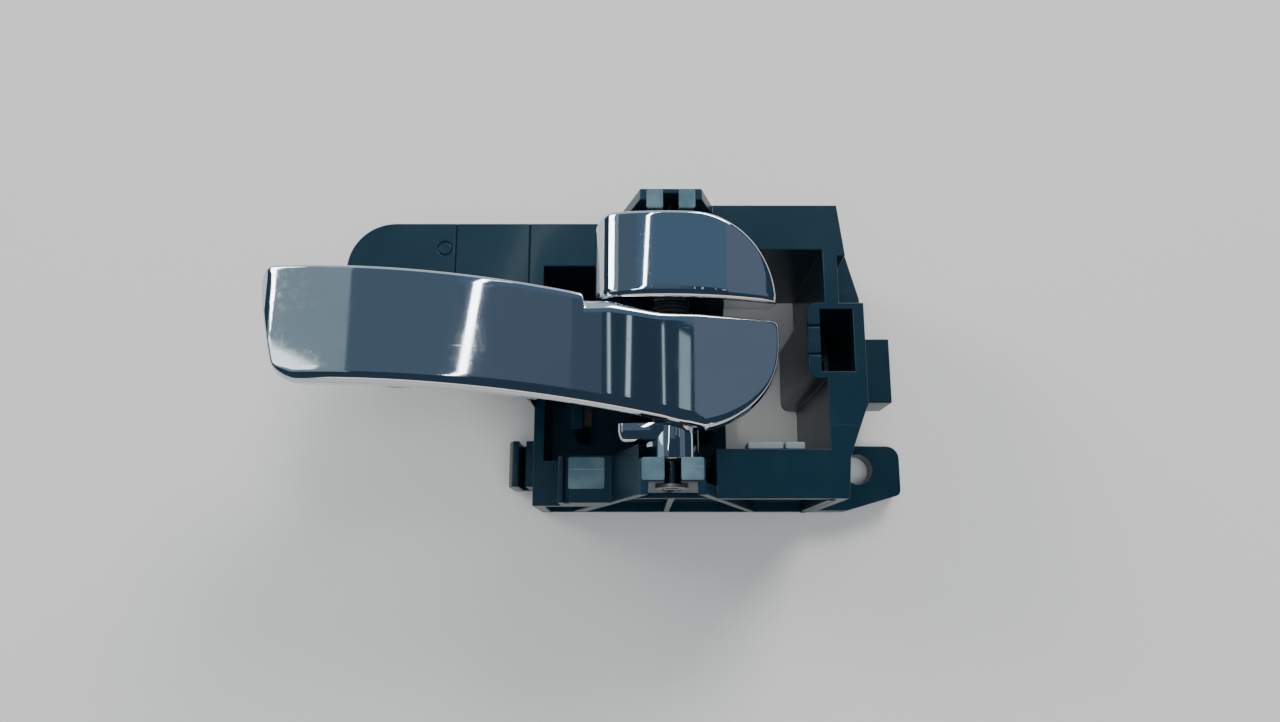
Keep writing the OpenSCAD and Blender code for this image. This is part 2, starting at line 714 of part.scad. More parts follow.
module hinge_pin() color([0.6, 0.6, 0.62]) rod(pin_r, frame_low + bar_d + stop_gap, frame_top - web_t / 2);

// Push-on ring with six slots around its bore.
module pin_retainer() color([0.5, 0.5, 0.52]) difference() {
    rod(pin_r + rib_t, frame_low + recess - sheet_t, frame_low + recess);
    rod(seat_r, frame_low, frame_low + recess + over);
    for (a = [0:60:300])
        translate([0, frame_low, hinge_z]) rotate([0, a, 0])
            block([pin_r / 2, 0, -notch_w / 2], [pin_r + rib_t / 2, recess + over, notch_w / 2]);
}

module thrust_washer() color([0.85, 0.85, 0.8]) difference() {
    rod(bush_flange_r, washer_low, washer_top);
    rod(bush_r, washer_low - over, washer_top + over);
}

// ---- Springs ----

// Round wire swept along a path that never runs parallel to the hinge.
function unit(v) = v / norm(v);
function heading(p, i) = unit(p[min(i + 1, len(p) - 1)] - p[max(i - 1, 0)]);
function ring(p, i, r, n) = let (t = heading(p, i), u = unit(cross(t, [0, 1, 0])), v = cross(u, t))
    [for (k = [0:n - 1]) p[i] + r * (cos(360 * k / n) * u + sin(360 * k / n) * v)];
module wire(p, r, n) {
    m = len(p);
    polyhedron(
        points = [for (i = [0:m - 1]) each ring(p, i, r, n)],
        faces = concat([[for (k = [0:n - 1]) k]], [[for (k = [n - 1:-1:0]) (m - 1) * n + k]],
            [for (i = [0:m - 2]) for (k = [0:n - 1])
                [i * n + k, (i + 1) * n + k, (i + 1) * n + (k + 1) % n, i * n + (k + 1) % n]]));
}
function coil(a) = [-coil_r * cos(a), spring_low + pitch * a / 360, hinge_z + coil_r * sin(a)];
last = 360 * spring_turns - 180;
module return_spring() color([0.55, 0.56, 0.58]) wire(concat(
    [[-coil_r, spring_low - 0.1, leg_z], [-coil_r, spring_low - 0.05, hinge_z - coil_r]],
    [for (a = [0:18:last]) coil(a)],
    [coil(last) - [0, 0, leg_l / 2], coil(last) - [0, 0, leg_l]]), wire_r, 8);

// Leaf that rises from its foot and bends over into the cam's notch.
module detent_spring() color([0.6, 0.61, 0.63]) {
    front = [[leaf_x + leaf_t, leaf_top - leaf_drop], [leaf_bump_hw, leaf_top], [0, leaf_top + leaf_bump],
             [-leaf_bump_hw, leaf_top]];
    prism_y(concat([[leaf_x, floor_t], [leaf_x + leaf_t, floor_t]], front,
                   [for (i = [3:-1:1]) front[i] - [0, leaf_t]], [[leaf_x, leaf_top - leaf_drop - leaf_t]]),
            cam_y - cam_t / 2, cam_y + cam_t / 2);
}

// ---- Small fittings ----

module spring_nut() color([0.62, 0.6, 0.55]) {
    fit = 0.2;
    side_z = shelf_z + 7;
    x0 = well_x - well_w / 2 + fit;
    x1 = well_x + well_w / 2 - fit;
    y0 = well_y - well_h / 2 + fit;
    y1 = well_y + well_h / 2 - fit;
    difference() {
        union() {
            block([x0, y0, shelf_z], [x1, y1, shelf_z + sheet_t]);
            translate([well_x, well_y, shelf_z + sheet_t - nut_l]) cylinder(r = nut_r + sheet_t, h = nut_l);
        }
        translate([well_x, well_y, shelf_z - nut_l]) cylinder(r = nut_r, h = 2 * nut_l);
    }
    block([x0, y0, shelf_z + sheet_t], [x1, y0 + sheet_t, side_z]);
    block([x0, y1 - sheet_t, shelf_z + sheet_t], [x1, y1, side_z]);
}

// Strips that the lever's heel passes, on the inner side of the lower rail.
buffer_x = foot(front_z) + 6.5;
buffer_inner_w = 7.3;
buffer_outer_w = 4.1;
buffer_t = 1.5;
buffer_top = front_z - 0.6;
buffer_h = 5.4;
module buffer(x, w) block([x, window_low, buffer_top - buffer_h], [x + w, window_low + buffer_t, buffer_top]);
module buffer_inner() color([0.2, 0.22, 0.24]) buffer(buffer_x, buffer_inner_w);
module buffer_outer() color([0.2, 0.22, 0.24]) buffer(buffer_x + buffer_inner_w + stop_gap, buffer_outer_w);

// A rubber disc stuck on a stop post: x of its face, direction it faces, and where the arm ends.
module bumper(x, dir, y, z) color([0.05, 0.05, 0.05])
    translate([x - dir * bumper_t, y, z + bumper_up]) rotate([0, dir * 90, 0])
        cylinder(r = bumper_r, h = bumper_t);
module lever_rest_bumper() bumper(pull_rest_x, -1, pull_y, pull_rest_z);
module lever_open_bumper() bumper(-pull_open_x, 1, pull_y, pull_open_z);
module knob_bumper() bumper(-lock_rest_x, 1, lock_y, lock_rest_z);

housing();
lever_shell();
lever_core();
lever_liner();
lever_bush_lower();
lever_bush_upper();
knob_cap();
knob_core();
knob_bush_lower();
knob_bush_upper();
hinge_pin();
pin_retainer();
thrust_washer();
return_spring();
detent_spring();
spring_nut();
buffer_inner();
buffer_outer();
lever_rest_bumper();
lever_open_bumper();
knob_bumper();
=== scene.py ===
"""Looks of an inside door handle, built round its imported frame.

The chromed lever and knob, the sprung and turned fittings and the rubber stops are surfaces worked out with
numpy. The housing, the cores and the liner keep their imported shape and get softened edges. Every finish is
procedural.
Lengths are in millimetres until a mesh is written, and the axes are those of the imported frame.
"""
import logging
import math
from dataclasses import dataclass, field
from enum import Enum
from typing import Callable, Mapping, Optional, Sequence, Union

import bmesh
import bpy
import numpy as np
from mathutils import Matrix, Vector


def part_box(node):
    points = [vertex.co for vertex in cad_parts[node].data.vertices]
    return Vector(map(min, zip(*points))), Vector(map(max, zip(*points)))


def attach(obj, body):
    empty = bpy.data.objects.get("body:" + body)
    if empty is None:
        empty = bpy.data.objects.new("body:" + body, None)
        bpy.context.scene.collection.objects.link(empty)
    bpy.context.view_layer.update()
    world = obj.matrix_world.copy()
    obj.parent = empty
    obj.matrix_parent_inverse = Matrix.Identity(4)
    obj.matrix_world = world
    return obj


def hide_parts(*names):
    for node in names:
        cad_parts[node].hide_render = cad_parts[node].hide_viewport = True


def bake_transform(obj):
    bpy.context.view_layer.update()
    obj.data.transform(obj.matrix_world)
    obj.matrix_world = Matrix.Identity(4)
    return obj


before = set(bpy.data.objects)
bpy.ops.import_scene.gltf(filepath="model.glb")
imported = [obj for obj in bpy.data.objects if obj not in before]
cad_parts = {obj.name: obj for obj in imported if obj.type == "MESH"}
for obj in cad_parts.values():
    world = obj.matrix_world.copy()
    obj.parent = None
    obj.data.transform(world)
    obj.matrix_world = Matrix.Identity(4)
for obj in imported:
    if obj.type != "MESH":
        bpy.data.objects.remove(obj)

logging.basicConfig(level=logging.INFO, format="%(name)s: %(message)s")
LOG = logging.getLogger("door_handle")
MM = 0.001
MERGE = 2e-6  # points nearer than this many metres become one
Number = Union[int, float]
Surface = tuple[np.ndarray, np.ndarray]
Wave = Callable[[np.ndarray, np.ndarray], np.ndarray]


class Body(Enum):
    """The three bodies that move against each other."""

    HOUSING = "housing"
    LEVER = "lever"
    KNOB = "knob"


class Axis(Enum):
    """The direction a turned piece points, as the order its own axes take in the frame."""

    ALONG_X = (1, 2, 0)
    ALONG_Y = (0, 2, 1)
    ALONG_Z = (0, 1, 2)


# ---------------------------------------------------------------------------------------------- shapes


def packed_box(node: str) -> tuple[np.ndarray, np.ndarray]:
    """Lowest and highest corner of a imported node, in millimetres."""
    low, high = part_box(node)
    return np.array(low) / MM, np.array(high) / MM


def bend(centre: Sequence[Number], radius: Number, start: Number, end: Number, steps: int) -> np.ndarray:
    """Points on an arc: centre plus radius times (cosine, sine) of an angle that runs evenly in degrees.

    Args:
        centre: Middle of the arc.
        radius: Radius of the arc.
        start: First angle in degrees.
        end: Last angle in degrees.
        steps: Number of points.

    Returns:
        An array of steps rows and two columns.
    """
    angle = np.radians(np.linspace(start, end, steps))
    return np.asarray(centre, float) + radius * np.stack([np.cos(angle), np.sin(angle)], -1)


def softened(corners: Sequence[Sequence[Number]], reach: Union[Number, Sequence[Number]],
             steps: int = 5) -> np.ndarray:
    """Round a closed outline: each corner becomes the parabola that leaves both its sides at the reach.

    Args:
        corners: Corners of the outline in order.
        reach: Distance from a corner at which its rounding starts, one number or one for each corner.
        steps: Points on each rounding.

    Returns:
        The rounded outline, steps points for each corner.
    """
    point = np.asarray(corners, float)
    back = np.roll(point, 1, 0) - point
    ahead = np.roll(point, -1, 0) - point
    reach = np.broadcast_to(np.asarray(reach, float), len(point))[:, None]
    first = point + back / np.linalg.norm(back, axis=1, keepdims=True) * reach
    last = point + ahead / np.linalg.norm(ahead, axis=1, keepdims=True) * reach
    t = np.linspace(0, 1, steps)[None, :, None]
    curve = (1 - t) ** 2 * first[:, None] + 2 * t * (1 - t) * point[:, None] + t**2 * last[:, None]
    return curve.reshape(-1, 2)


def grid_faces(rows: int, columns: int, wrap_rows: bool = False, wrap_columns: bool = True) -> np.ndarray:
    """Corner numbers of the four-sided faces between the points of a grid.

    Args:
        rows: Rows of points.
        columns: Points in a row.
        wrap_rows: Whether the last row joins the first.
        wrap_columns: Whether the last point of a row joins its first.

    Returns:
        One row of four point numbers for each face.
    """
    i = np.arange(rows if wrap_rows else rows - 1)[:, None]
    j = np.arange(columns if wrap_columns else columns - 1)[None, :]
    here, below, beside = i * columns, (i + 1) % rows * columns, (j + 1) % columns
    faces = np.stack([here + j, here + beside, below + beside, below + j], -1)
    return faces.reshape(-1, 4)


def turned(profile: np.ndarray, axis: Axis, centre: Sequence[Number], steps: int = 64,
           wave: Optional[Wave] = None) -> Surface:
    """Surface of revolution: a point is the centre, the profile's height along the axis, and its radius
    times (cosine, sine) of the turning angle.

    Args:
        profile: Closed outline of (radius, height) rows.
        axis: Direction of the axis.
        centre: A point on the axis, where the height is zero.
        steps: Points round the axis.
        wave: Gives the radius added at each (angle, height), for threads and slots.

    Returns:
        The points and the faces.
    """
    angle = np.linspace(0, 2 * math.pi, steps, endpoint=False)[:, None]
    radius, height = profile[None, :, 0], profile[None, :, 1]
    radius = radius + (wave(angle, profile[None, :, :]) if wave else 0 * angle)
    own = np.stack([radius * np.cos(angle), radius * np.sin(angle), height + 0 * angle], -1)
    points = own[..., np.argsort(axis.value)] + np.asarray(centre, float)
    return points.reshape(-1, 3), grid_faces(steps, len(profile), wrap_rows=True)


def swept(path: np.ndarray, section: np.ndarray, side: Sequence[Number]) -> Surface:
    """A section carried along a path: each point is the path's point, plus the section's two numbers times
    two directions that are square to the path's heading, the first of them as near to side as it can be.

    Args:
        path: Points of the path.
        section: Closed outline of the section.
        side: Direction that fixes how the section is turned.

    Returns:
        The points, with both ends drawn together to a point, and the faces.
    """
    heading = np.gradient(path, axis=0)
    heading /= np.linalg.norm(heading, axis=1, keepdims=True)
    across = np.cross(np.cross(heading, np.asarray(side, float)), heading)
    across /= np.linalg.norm(across, axis=1, keepdims=True)
    up = np.cross(heading, across)
    rings = path[:, None] + section[None, :, :1] * across[:, None] + section[None, :, 1:] * up[:, None]
    depth = 0.25 * np.abs(section).max()

    def drawn_in(at: int, share: Number) -> np.ndarray:
        outwards = depth if at else -depth
        return rings[at] * share + path[at] * (1 - share) + heading[at] * outwards

    start = [drawn_in(0, share) for share in (0.15, 0.7)]
    finish = [drawn_in(-1, share) for share in (0.7, 0.15)]
    tip, tail = (np.broadcast_to(ring.mean(0), ring.shape) for ring in (start[0], finish[-1]))
    rows = np.stack([tip, *start, *rings, *finish, tail])
    return rows.reshape(-1, 3), grid_faces(len(rows), len(section))


def stacked(outline: np.ndarray, levels: Sequence[Sequence[Number]], axis: Axis,
            centre: Sequence[Number] = (0, 0, 0)) -> Surface:
    """A flat outline carried along an axis: at each level it is drawn in towards its own middle by a
    distance, and both ends close on the middle.

    Args:
        outline: Closed outline across the axis.
        levels: (height, inset) rows from one end to the other.
        axis: Direction of the axis.
        centre: Where the outline's origin lies.

    Returns:
        The points and the faces.
    """
    level = np.asarray(levels, float)
    middle = (outline.max(0) + outline.min(0)) / 2
    half = (outline.max(0) - outline.min(0)) / 2
    share = 1 - level[:, None, 1:] / half
    flat = middle + (outline - middle)[None] * share
    rows = np.concatenate([flat, np.broadcast_to(level[:, None, :1], (*flat.shape[:2], 1))], -1)
    ends = [np.broadcast_to([*middle, level[i, 0]], rows[i].shape)[None] for i in (0, -1)]
    rows = np.concatenate([ends[0], rows, ends[1]])
    points = rows[..., np.argsort(axis.value)] + np.asarray(centre, float)
    return points.reshape(-1, 3), grid_faces(len(rows), len(outline))


def soft_ends(low: Number, high: Number, reach: Number) -> list[tuple[float, float]]:
    """Levels of a straight bar whose two ends are rounded by quarter circles of a radius."""
    angle = np.radians(np.linspace(0, 90, 4))
    rise, inset = reach * (1 - np.cos(angle)), reach * (1 - np.sin(angle))
    steps = list(zip(rise, inset))
    return [(low + a, b) for a, b in steps] + [(high - a, b) for a, b in reversed(steps)]


@dataclass
class Piece:
    """A finished piece: its mesh, the body it rides on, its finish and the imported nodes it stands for."""

    name: str
    body: Body
    finish: "Finish"
    slot: str
    nodes: Sequence[str] = ()
    sharp: float = 40.0
    twist: Optional[tuple[Sequence[Number], Sequence[Number]]] = None

    def make(self, points: np.ndarray, faces: np.ndarray) -> bpy.types.Object:
        """Write a mesh with its doubles merged and its faces outwards, and dress it.

        Args:
            points: Points in millimetres.
            faces: Point numbers of each face.

        Returns:
            The object, at the origin.
        """
        mesh = bpy.data.meshes.new(self.name)
        mesh.from_pydata(np.asarray(points, float) * MM, [], faces.tolist())
        work = bmesh.new()
        work.from_mesh(mesh)
        bmesh.ops.remove_doubles(work, verts=work.verts, dist=MERGE)
        bmesh.ops.dissolve_degenerate(work, edges=work.edges, dist=1e-7)
        bmesh.ops.recalc_face_normals(work, faces=work.faces)
        work.to_mesh(mesh)
        work.free()
        return self.place(mesh)

    def place(self, mesh: bpy.types.Mesh) -> bpy.types.Object:
        """Put a mesh in the scene as this piece, shaded smooth up to its sharp angle.

        A piece with a twist keeps its place in the frame and rides on no body; its twist's two points are
        worked out but not used.

        Args:
            mesh: The mesh to put in the scene.

        Returns:
            The object, at the origin.
        """
        mesh.polygons.foreach_set("use_smooth", np.ones(len(mesh.polygons), bool))
        mesh.set_sharp_from_angle(angle=math.radians(self.sharp))
        piece = bpy.data.objects.new(self.name, mesh)
        bpy.context.scene.collection.objects.link(piece)
        mesh.materials.append(self.finish.material())
        if self.twist is None:
            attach(piece, self.body.value)
        else:
            start, end = (tuple(MM * part for part in point) for point in self.twist)
            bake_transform(piece)
        if self.nodes:
            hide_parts(*self.nodes)
        LOG.info("%s: %d faces on %s", self.name, len(mesh.polygons), self.body.value)
        return piece


def joined(*parts: Surface) -> Surface:
    """Put several surfaces of four-sided faces into one list of points and faces."""
    start = np.cumsum([0] + [len(points) for points, _ in parts[:-1]])
    return (np.concatenate([points for points, _ in parts]),
            np.concatenate([faces + first for (_, faces), first in zip(parts, start)]))


# -------------------------------------------------------------------------------------------- finishes


class Wire:
    """A shader socket that takes part in sums, so that a formula in Python becomes Math nodes."""

    def __init__(self, shader: "Shader", socket: bpy.types.NodeSocket) -> None:
        """Keep the socket and the shader it belongs to."""
        self.shader = shader
        self.socket = socket

    def _math(self, operation: str, first: "Value", second: "Value") -> "Wire":
        """One Math node with two inputs."""
        return self.shader.node("ShaderNodeMath", {"operation": operation}, {0: first, 1: second})

    def __add__(self, other: "Value") -> "Wire":
        """Sum."""
        return self._math("ADD", self, other)

    def __radd__(self, other: "Value") -> "Wire":
        """Sum with the number first."""
        return self._math("ADD", other, self)

    def __sub__(self, other: "Value") -> "Wire":
        """Difference."""
        return self._math("SUBTRACT", self, other)

    def __rsub__(self, other: "Value") -> "Wire":
        """Difference with the number first."""
        return self._math("SUBTRACT", other, self)

    def __mul__(self, other: "Value") -> "Wire":
        """Product."""
        return self._math("MULTIPLY", self, other)

    def __rmul__(self, other: "Value") -> "Wire":
        """Product with the number first."""
        return self._math("MULTIPLY", other, self)

    def band(self, low: Number, high: Number) -> "Wire":
        """A smooth step from 0 at low to 1 at high."""
        return self.shader.node("ShaderNodeMapRange", {"interpolation_type": "SMOOTHSTEP"},
                                {"Value": self, "From Min": low, "From Max": high})


Value = Union[Wire, Number, Sequence[Number]]


class Shader:
    """A material's node tree with one Principled surface."""

    def __init__(self, name: str) -> None:
        """Start an empty tree that reads Object coordinates."""
        self.built = bpy.data.materials.new(name)
        self.built.use_nodes = True
        self.tree = self.built.node_tree
        self.tree.nodes.clear()
        self.place = self.node("ShaderNodeTexCoord", output="Object")

    def node(self, kind: str, settings: Optional[Mapping[str, object]] = None,
             values: Optional[Mapping[Union[str, int], Value]] = None, output: Union[str, int] = 0) -> Wire:
        """Add a node: its settings first, then the values or links of its inputs.

        Args:
            kind: The node's type.
            settings: Attributes to set.
            values: Inputs by name or number.
            output: The output that the answer reads.

        Returns:
            The chosen output.
        """
        made = self.tree.nodes.new(kind)
        for key, setting in (settings or {}).items():
            setattr(made, key, setting)
        for key, value in (values or {}).items():
            if isinstance(value, Wire):
                self.tree.links.new(value.socket, made.inputs[key])
            else:
                made.inputs[key].default_value = value
        return Wire(self, made.outputs[output] if made.outputs else None)

    def noise(self, per_mm: Number, detail: Number = 2.0, rough: Number = 0.5,
              stretch: Sequence[Number] = (1, 1, 1), seed: Number = 0.0) -> Wire:
        """Cloudy noise between 0 and 1.

        Args:
            per_mm: Lumps in a millimetre.
            detail: Octaves of finer noise.
            rough: How strong the finer octaves are.
            stretch: How many times finer it is along each axis.
            seed: Shift that makes one noise unlike another.

        Returns:
            The noise.
        """
        place = self.node("ShaderNodeMapping", values={"Vector": self.place, "Location": (seed, seed, seed),
                                                       "Scale": tuple(stretch)})
        return self.node("ShaderNodeTexNoise", values={"Vector": place, "Scale": per_mm / MM,
                                                       "Detail": detail, "Roughness": rough})

    def scratches(self, per_mm: Number, turn: Number, seed: Number, share: Number) -> Wire:
        """Thin straight marks: noise stretched fiftyfold along a turned axis, cut to its crests.

        Args:
            per_mm: Marks in a millimetre, across them.
            turn: Direction of the marks in degrees.
            seed: Shift that makes one set unlike another.
            share: Share of the surface left without marks.

        Returns:
            One on a mark and zero beside it.
        """
        place = self.node("ShaderNodeMapping", values={"Vector": self.place, "Location": (seed, seed, seed),
                                                       "Rotation": (0.0, 0.0, math.radians(turn)),
                                                       "Scale": (0.02, 1.0, 1.0)})
        lines = self.node("ShaderNodeTexNoise", values={"Vector": place, "Scale": per_mm / MM, "Detail": 2.0})
        return lines.band(share, share + 0.05)

    def blend(self, factor: Value, first: Value, second: Value) -> Wire:
        """Mix two colours, the second where the factor is one."""
        return self.node("ShaderNodeMix", {"data_type": "RGBA"}, {0: factor, 6: first, 7: second}, output=2)

    def bump(self, height: Value, depth_mm: Number, strength: Number, under: Optional[Wire] = None) -> Wire:
        """Turn a height between 0 and 1 into a normal.

        Args:
            height: The height.
            depth_mm: What a height of one stands for.
            strength: Share of the effect.
            under: A normal to add to.

        Returns:
            The normal.
        """
        values: dict[str, Value] = {"Height": height, "Distance": depth_mm * MM, "Strength": strength}
        if under is not None:
            values["Normal"] = under
        return self.node("ShaderNodeBump", values=values)

    def surface(self, values: Mapping[Union[str, int], Value]) -> bpy.types.Material:
        """Close the tree with a Principled surface and return the material."""
        shading = self.node("ShaderNodeBsdfPrincipled", values=values)
        self.node("ShaderNodeOutputMaterial", values={"Surface": shading})
        return self.built


@dataclass(frozen=True)
class Finish:
    """A finish that several pieces may share."""

    name: str

    def material(self) -> bpy.types.Material:
        """The finish's material, made the first time it is asked for."""
        return bpy.data.materials.get(self.name) or self.build(Shader(self.name))

    def build(self, shader: Shader) -> bpy.types.Material:
        """Make the material."""
        raise NotImplementedError


@dataclass(frozen=True)
class Chrome(Finish):
    """Bright plating with finger smudges, wiping marks and hairlines."""

    tint: tuple[float, float, float] = (0.6, 0.64, 0.68)
    gloss: float = 0.035
    smudge: float = 0.055

    def build(self, shader: Shader) -> bpy.types.Material:
        """Smudges raise the roughness, hairlines and a slow wave of the plating bend the reflections."""
        cloud = shader.noise(0.05, 3.0, 0.6).band(0.48, 0.68)
        prints = shader.noise(0.9, 2.0, 0.5, seed=0.3).band(0.45, 0.65)
        hairs = shader.scratches(3.0, 8.0, 0.11, 0.68) + shader.scratches(2.0, 71.0, 0.57, 0.7)
        wave = shader.noise(0.02, 1.0, 0.4, seed=0.8)
        fine = shader.noise(6.0, 2.0, 0.5, seed=0.5)
        rough = self.gloss + cloud * (0.35 + 0.65 * prints) * self.smudge + hairs * 0.05
        waved = shader.bump(fine, 0.001, 0.03, shader.bump(wave, 0.05, 0.12))
        normal = shader.bump(hairs, 0.003, 0.06, waved)
        dull = tuple(0.93 * part for part in self.tint)
        colour = shader.blend(cloud * 0.6, (*self.tint, 1.0), (*dull, 1.0))
        return shader.surface({"Base Color": colour, "Metallic": 1.0, "Roughness": rough, "Normal": normal})


@dataclass(frozen=True)
class Moulding(Finish):
    """Injection-moulded plastic with a fine skin, flow marks, rubbed patches and dust."""

    colour: tuple[float, float, float]
    rubbed: tuple[float, float, float]
    rough: float
    spread: float
    grain_mm: float
    grain: float
    coat: float = 0.0

    def build(self, shader: Shader) -> bpy.types.Material:
        """The skin's grain bends the light, flow marks and rubbing change its colour and roughness."""
        grain = shader.noise(1 / self.grain_mm, 3.0, 0.6)
        flow = shader.noise(0.06, 3.0, 0.55, (1.0, 2.2, 1.0), 0.4)
        patch = shader.noise(0.16, 3.0, 0.5, seed=0.9).band(0.4, 0.85)
        marks = shader.scratches(1.6, 24.0, 0.21, 0.7) + shader.scratches(1.2, -52.0, 0.73, 0.71)
        dust = shader.noise(2.6, 2.0, 0.7, seed=0.6).band(0.66, 0.78)
        worn = patch * 0.22 + marks * 0.45 + dust * 0.4
        colour = shader.blend(worn, (*self.colour, 1.0), (*self.rubbed, 1.0))
        rough = self.rough + (flow - 0.5) * self.spread + patch * self.spread * 0.4 + marks * 0.1 + dust * 0.1
        normal = shader.bump(grain, self.grain_mm * 0.12, self.grain, shader.bump(flow, 0.08, 0.12))
        return shader.surface({"Base Color": colour, "Roughness": rough, "Normal": normal, "IOR": 1.5,
                               "Specular Tint": (0.6, 0.88, 1.0, 1.0), "Coat Weight": self.coat,
                               "Coat Roughness": 0.08})


@dataclass(frozen=True)
class Steel(Finish):
    """Bare or passivated steel with drawing or turning lines along one axis."""

    tint: tuple[float, float, float]
    rough: float
    stretch: tuple[float, float, float]

    def build(self, shader: Shader) -> bpy.types.Material:
        """Lines along the working direction, with darker specks of old oil."""
        lines = shader.noise(8.0, 3.0, 0.6, self.stretch)
        specks = shader.noise(0.7, 4.0, 0.6, seed=0.4).band(0.55, 0.75)
        dark = tuple(0.45 * part for part in self.tint)
        colour = shader.blend(specks * 0.5, (*self.tint, 1.0), (*dark, 1.0))
        rough = self.rough + (lines - 0.5) * 0.2 + specks * 0.15
        return shader.surface({"Base Color": colour, "Metallic": 1.0, "Roughness": rough,
                               "Normal": shader.bump(lines, 0.01, 0.35)})


@dataclass(frozen=True)
class Rubber(Finish):
    """Black rubber with a dry bloom."""

    def build(self, shader: Shader) -> bpy.types.Material:
        """A bloom lightens the black in clouds, over a pebbled skin."""
        pebble = shader.noise(3.0, 3.0, 0.6)
        bloom = shader.noise(0.4, 3.0, 0.6, seed=0.2).band(0.4, 0.8)
        colour = shader.blend(bloom, (0.016, 0.016, 0.017, 1.0), (0.05, 0.05, 0.052, 1.0))
        return shader.surface({"Base Color": colour, "Roughness": 0.75 + bloom * 0.15,
                               "Normal": shader.bump(pebble, 0.04, 0.5)})


@dataclass(frozen=True)
class Paper(Finish):
    """The studio's floor: plain, pale and nearly even."""

    def build(self, shader: Shader) -> bpy.types.Material:
        """A faint cloud in the tone and a soft tooth."""
        cloud = shader.noise(0.01, 2.0, 0.5)
        colour = shader.blend(cloud * 0.5, (0.78, 0.765, 0.74, 1.0), (0.75, 0.735, 0.71, 1.0))
        return shader.surface({"Base Color": colour, "Roughness": 0.7 + cloud * 0.1,
                               "Normal": shader.bump(shader.noise(1.2, 2.0), 0.02, 0.2)})


CHROME = Chrome("bright_chrome")
BLACK = Moulding("black_moulding", (0.0028, 0.0155, 0.0285), (0.012, 0.032, 0.047), 0.34, 0.06, 0.3, 0.12,
                 0.08)
# lighter copy of the housing plastic: painted highlight on the lit top faces of the boss lugs and the lower
# rail's land
HIGHLIGHT_MOULDING = Moulding("painted_highlight_moulding", (0.06, 0.115, 0.145), (0.42, 0.5, 0.52), 0.34, 0.1, 0.3, 0.3)
CORE = Moulding("glass_filled_core", (0.02, 0.02, 0.022), (0.07, 0.07, 0.072), 0.48, 0.15, 0.25, 0.4)
LINER = Moulding("grained_liner", (0.015, 0.016, 0.017), (0.05, 0.05, 0.052), 0.55, 0.1, 0.6, 0.7)
BEARING = Moulding("filled_acetal", (0.018, 0.02, 0.023), (0.05, 0.052, 0.055), 0.38, 0.1, 0.3, 0.15)
# light grey standing for painted highlight on the buffers' lit top faces
BUFFER_HIGHLIGHT = Moulding("buffer_painted_highlight", (0.2, 0.225, 0.24), (0.3, 0.32, 0.33), 0.4, 0.12, 0.3, 0.3)
PIN_STEEL = Steel("ground_pin", (0.2, 0.24, 0.28), 0.25, (1.0, 0.03, 1.0))
SPRING_STEEL = Steel("spring_steel", (0.07, 0.075, 0.08), 0.36, (1.0, 0.2, 1.0))
NUT_STEEL = Steel("blackened_nut", (0.16, 0.16, 0.17), 0.28, (1.0, 1.0, 0.2))
RUBBER = Rubber("stop_rubber")


# --------------------------------------------------------------------------------------- chromed shells


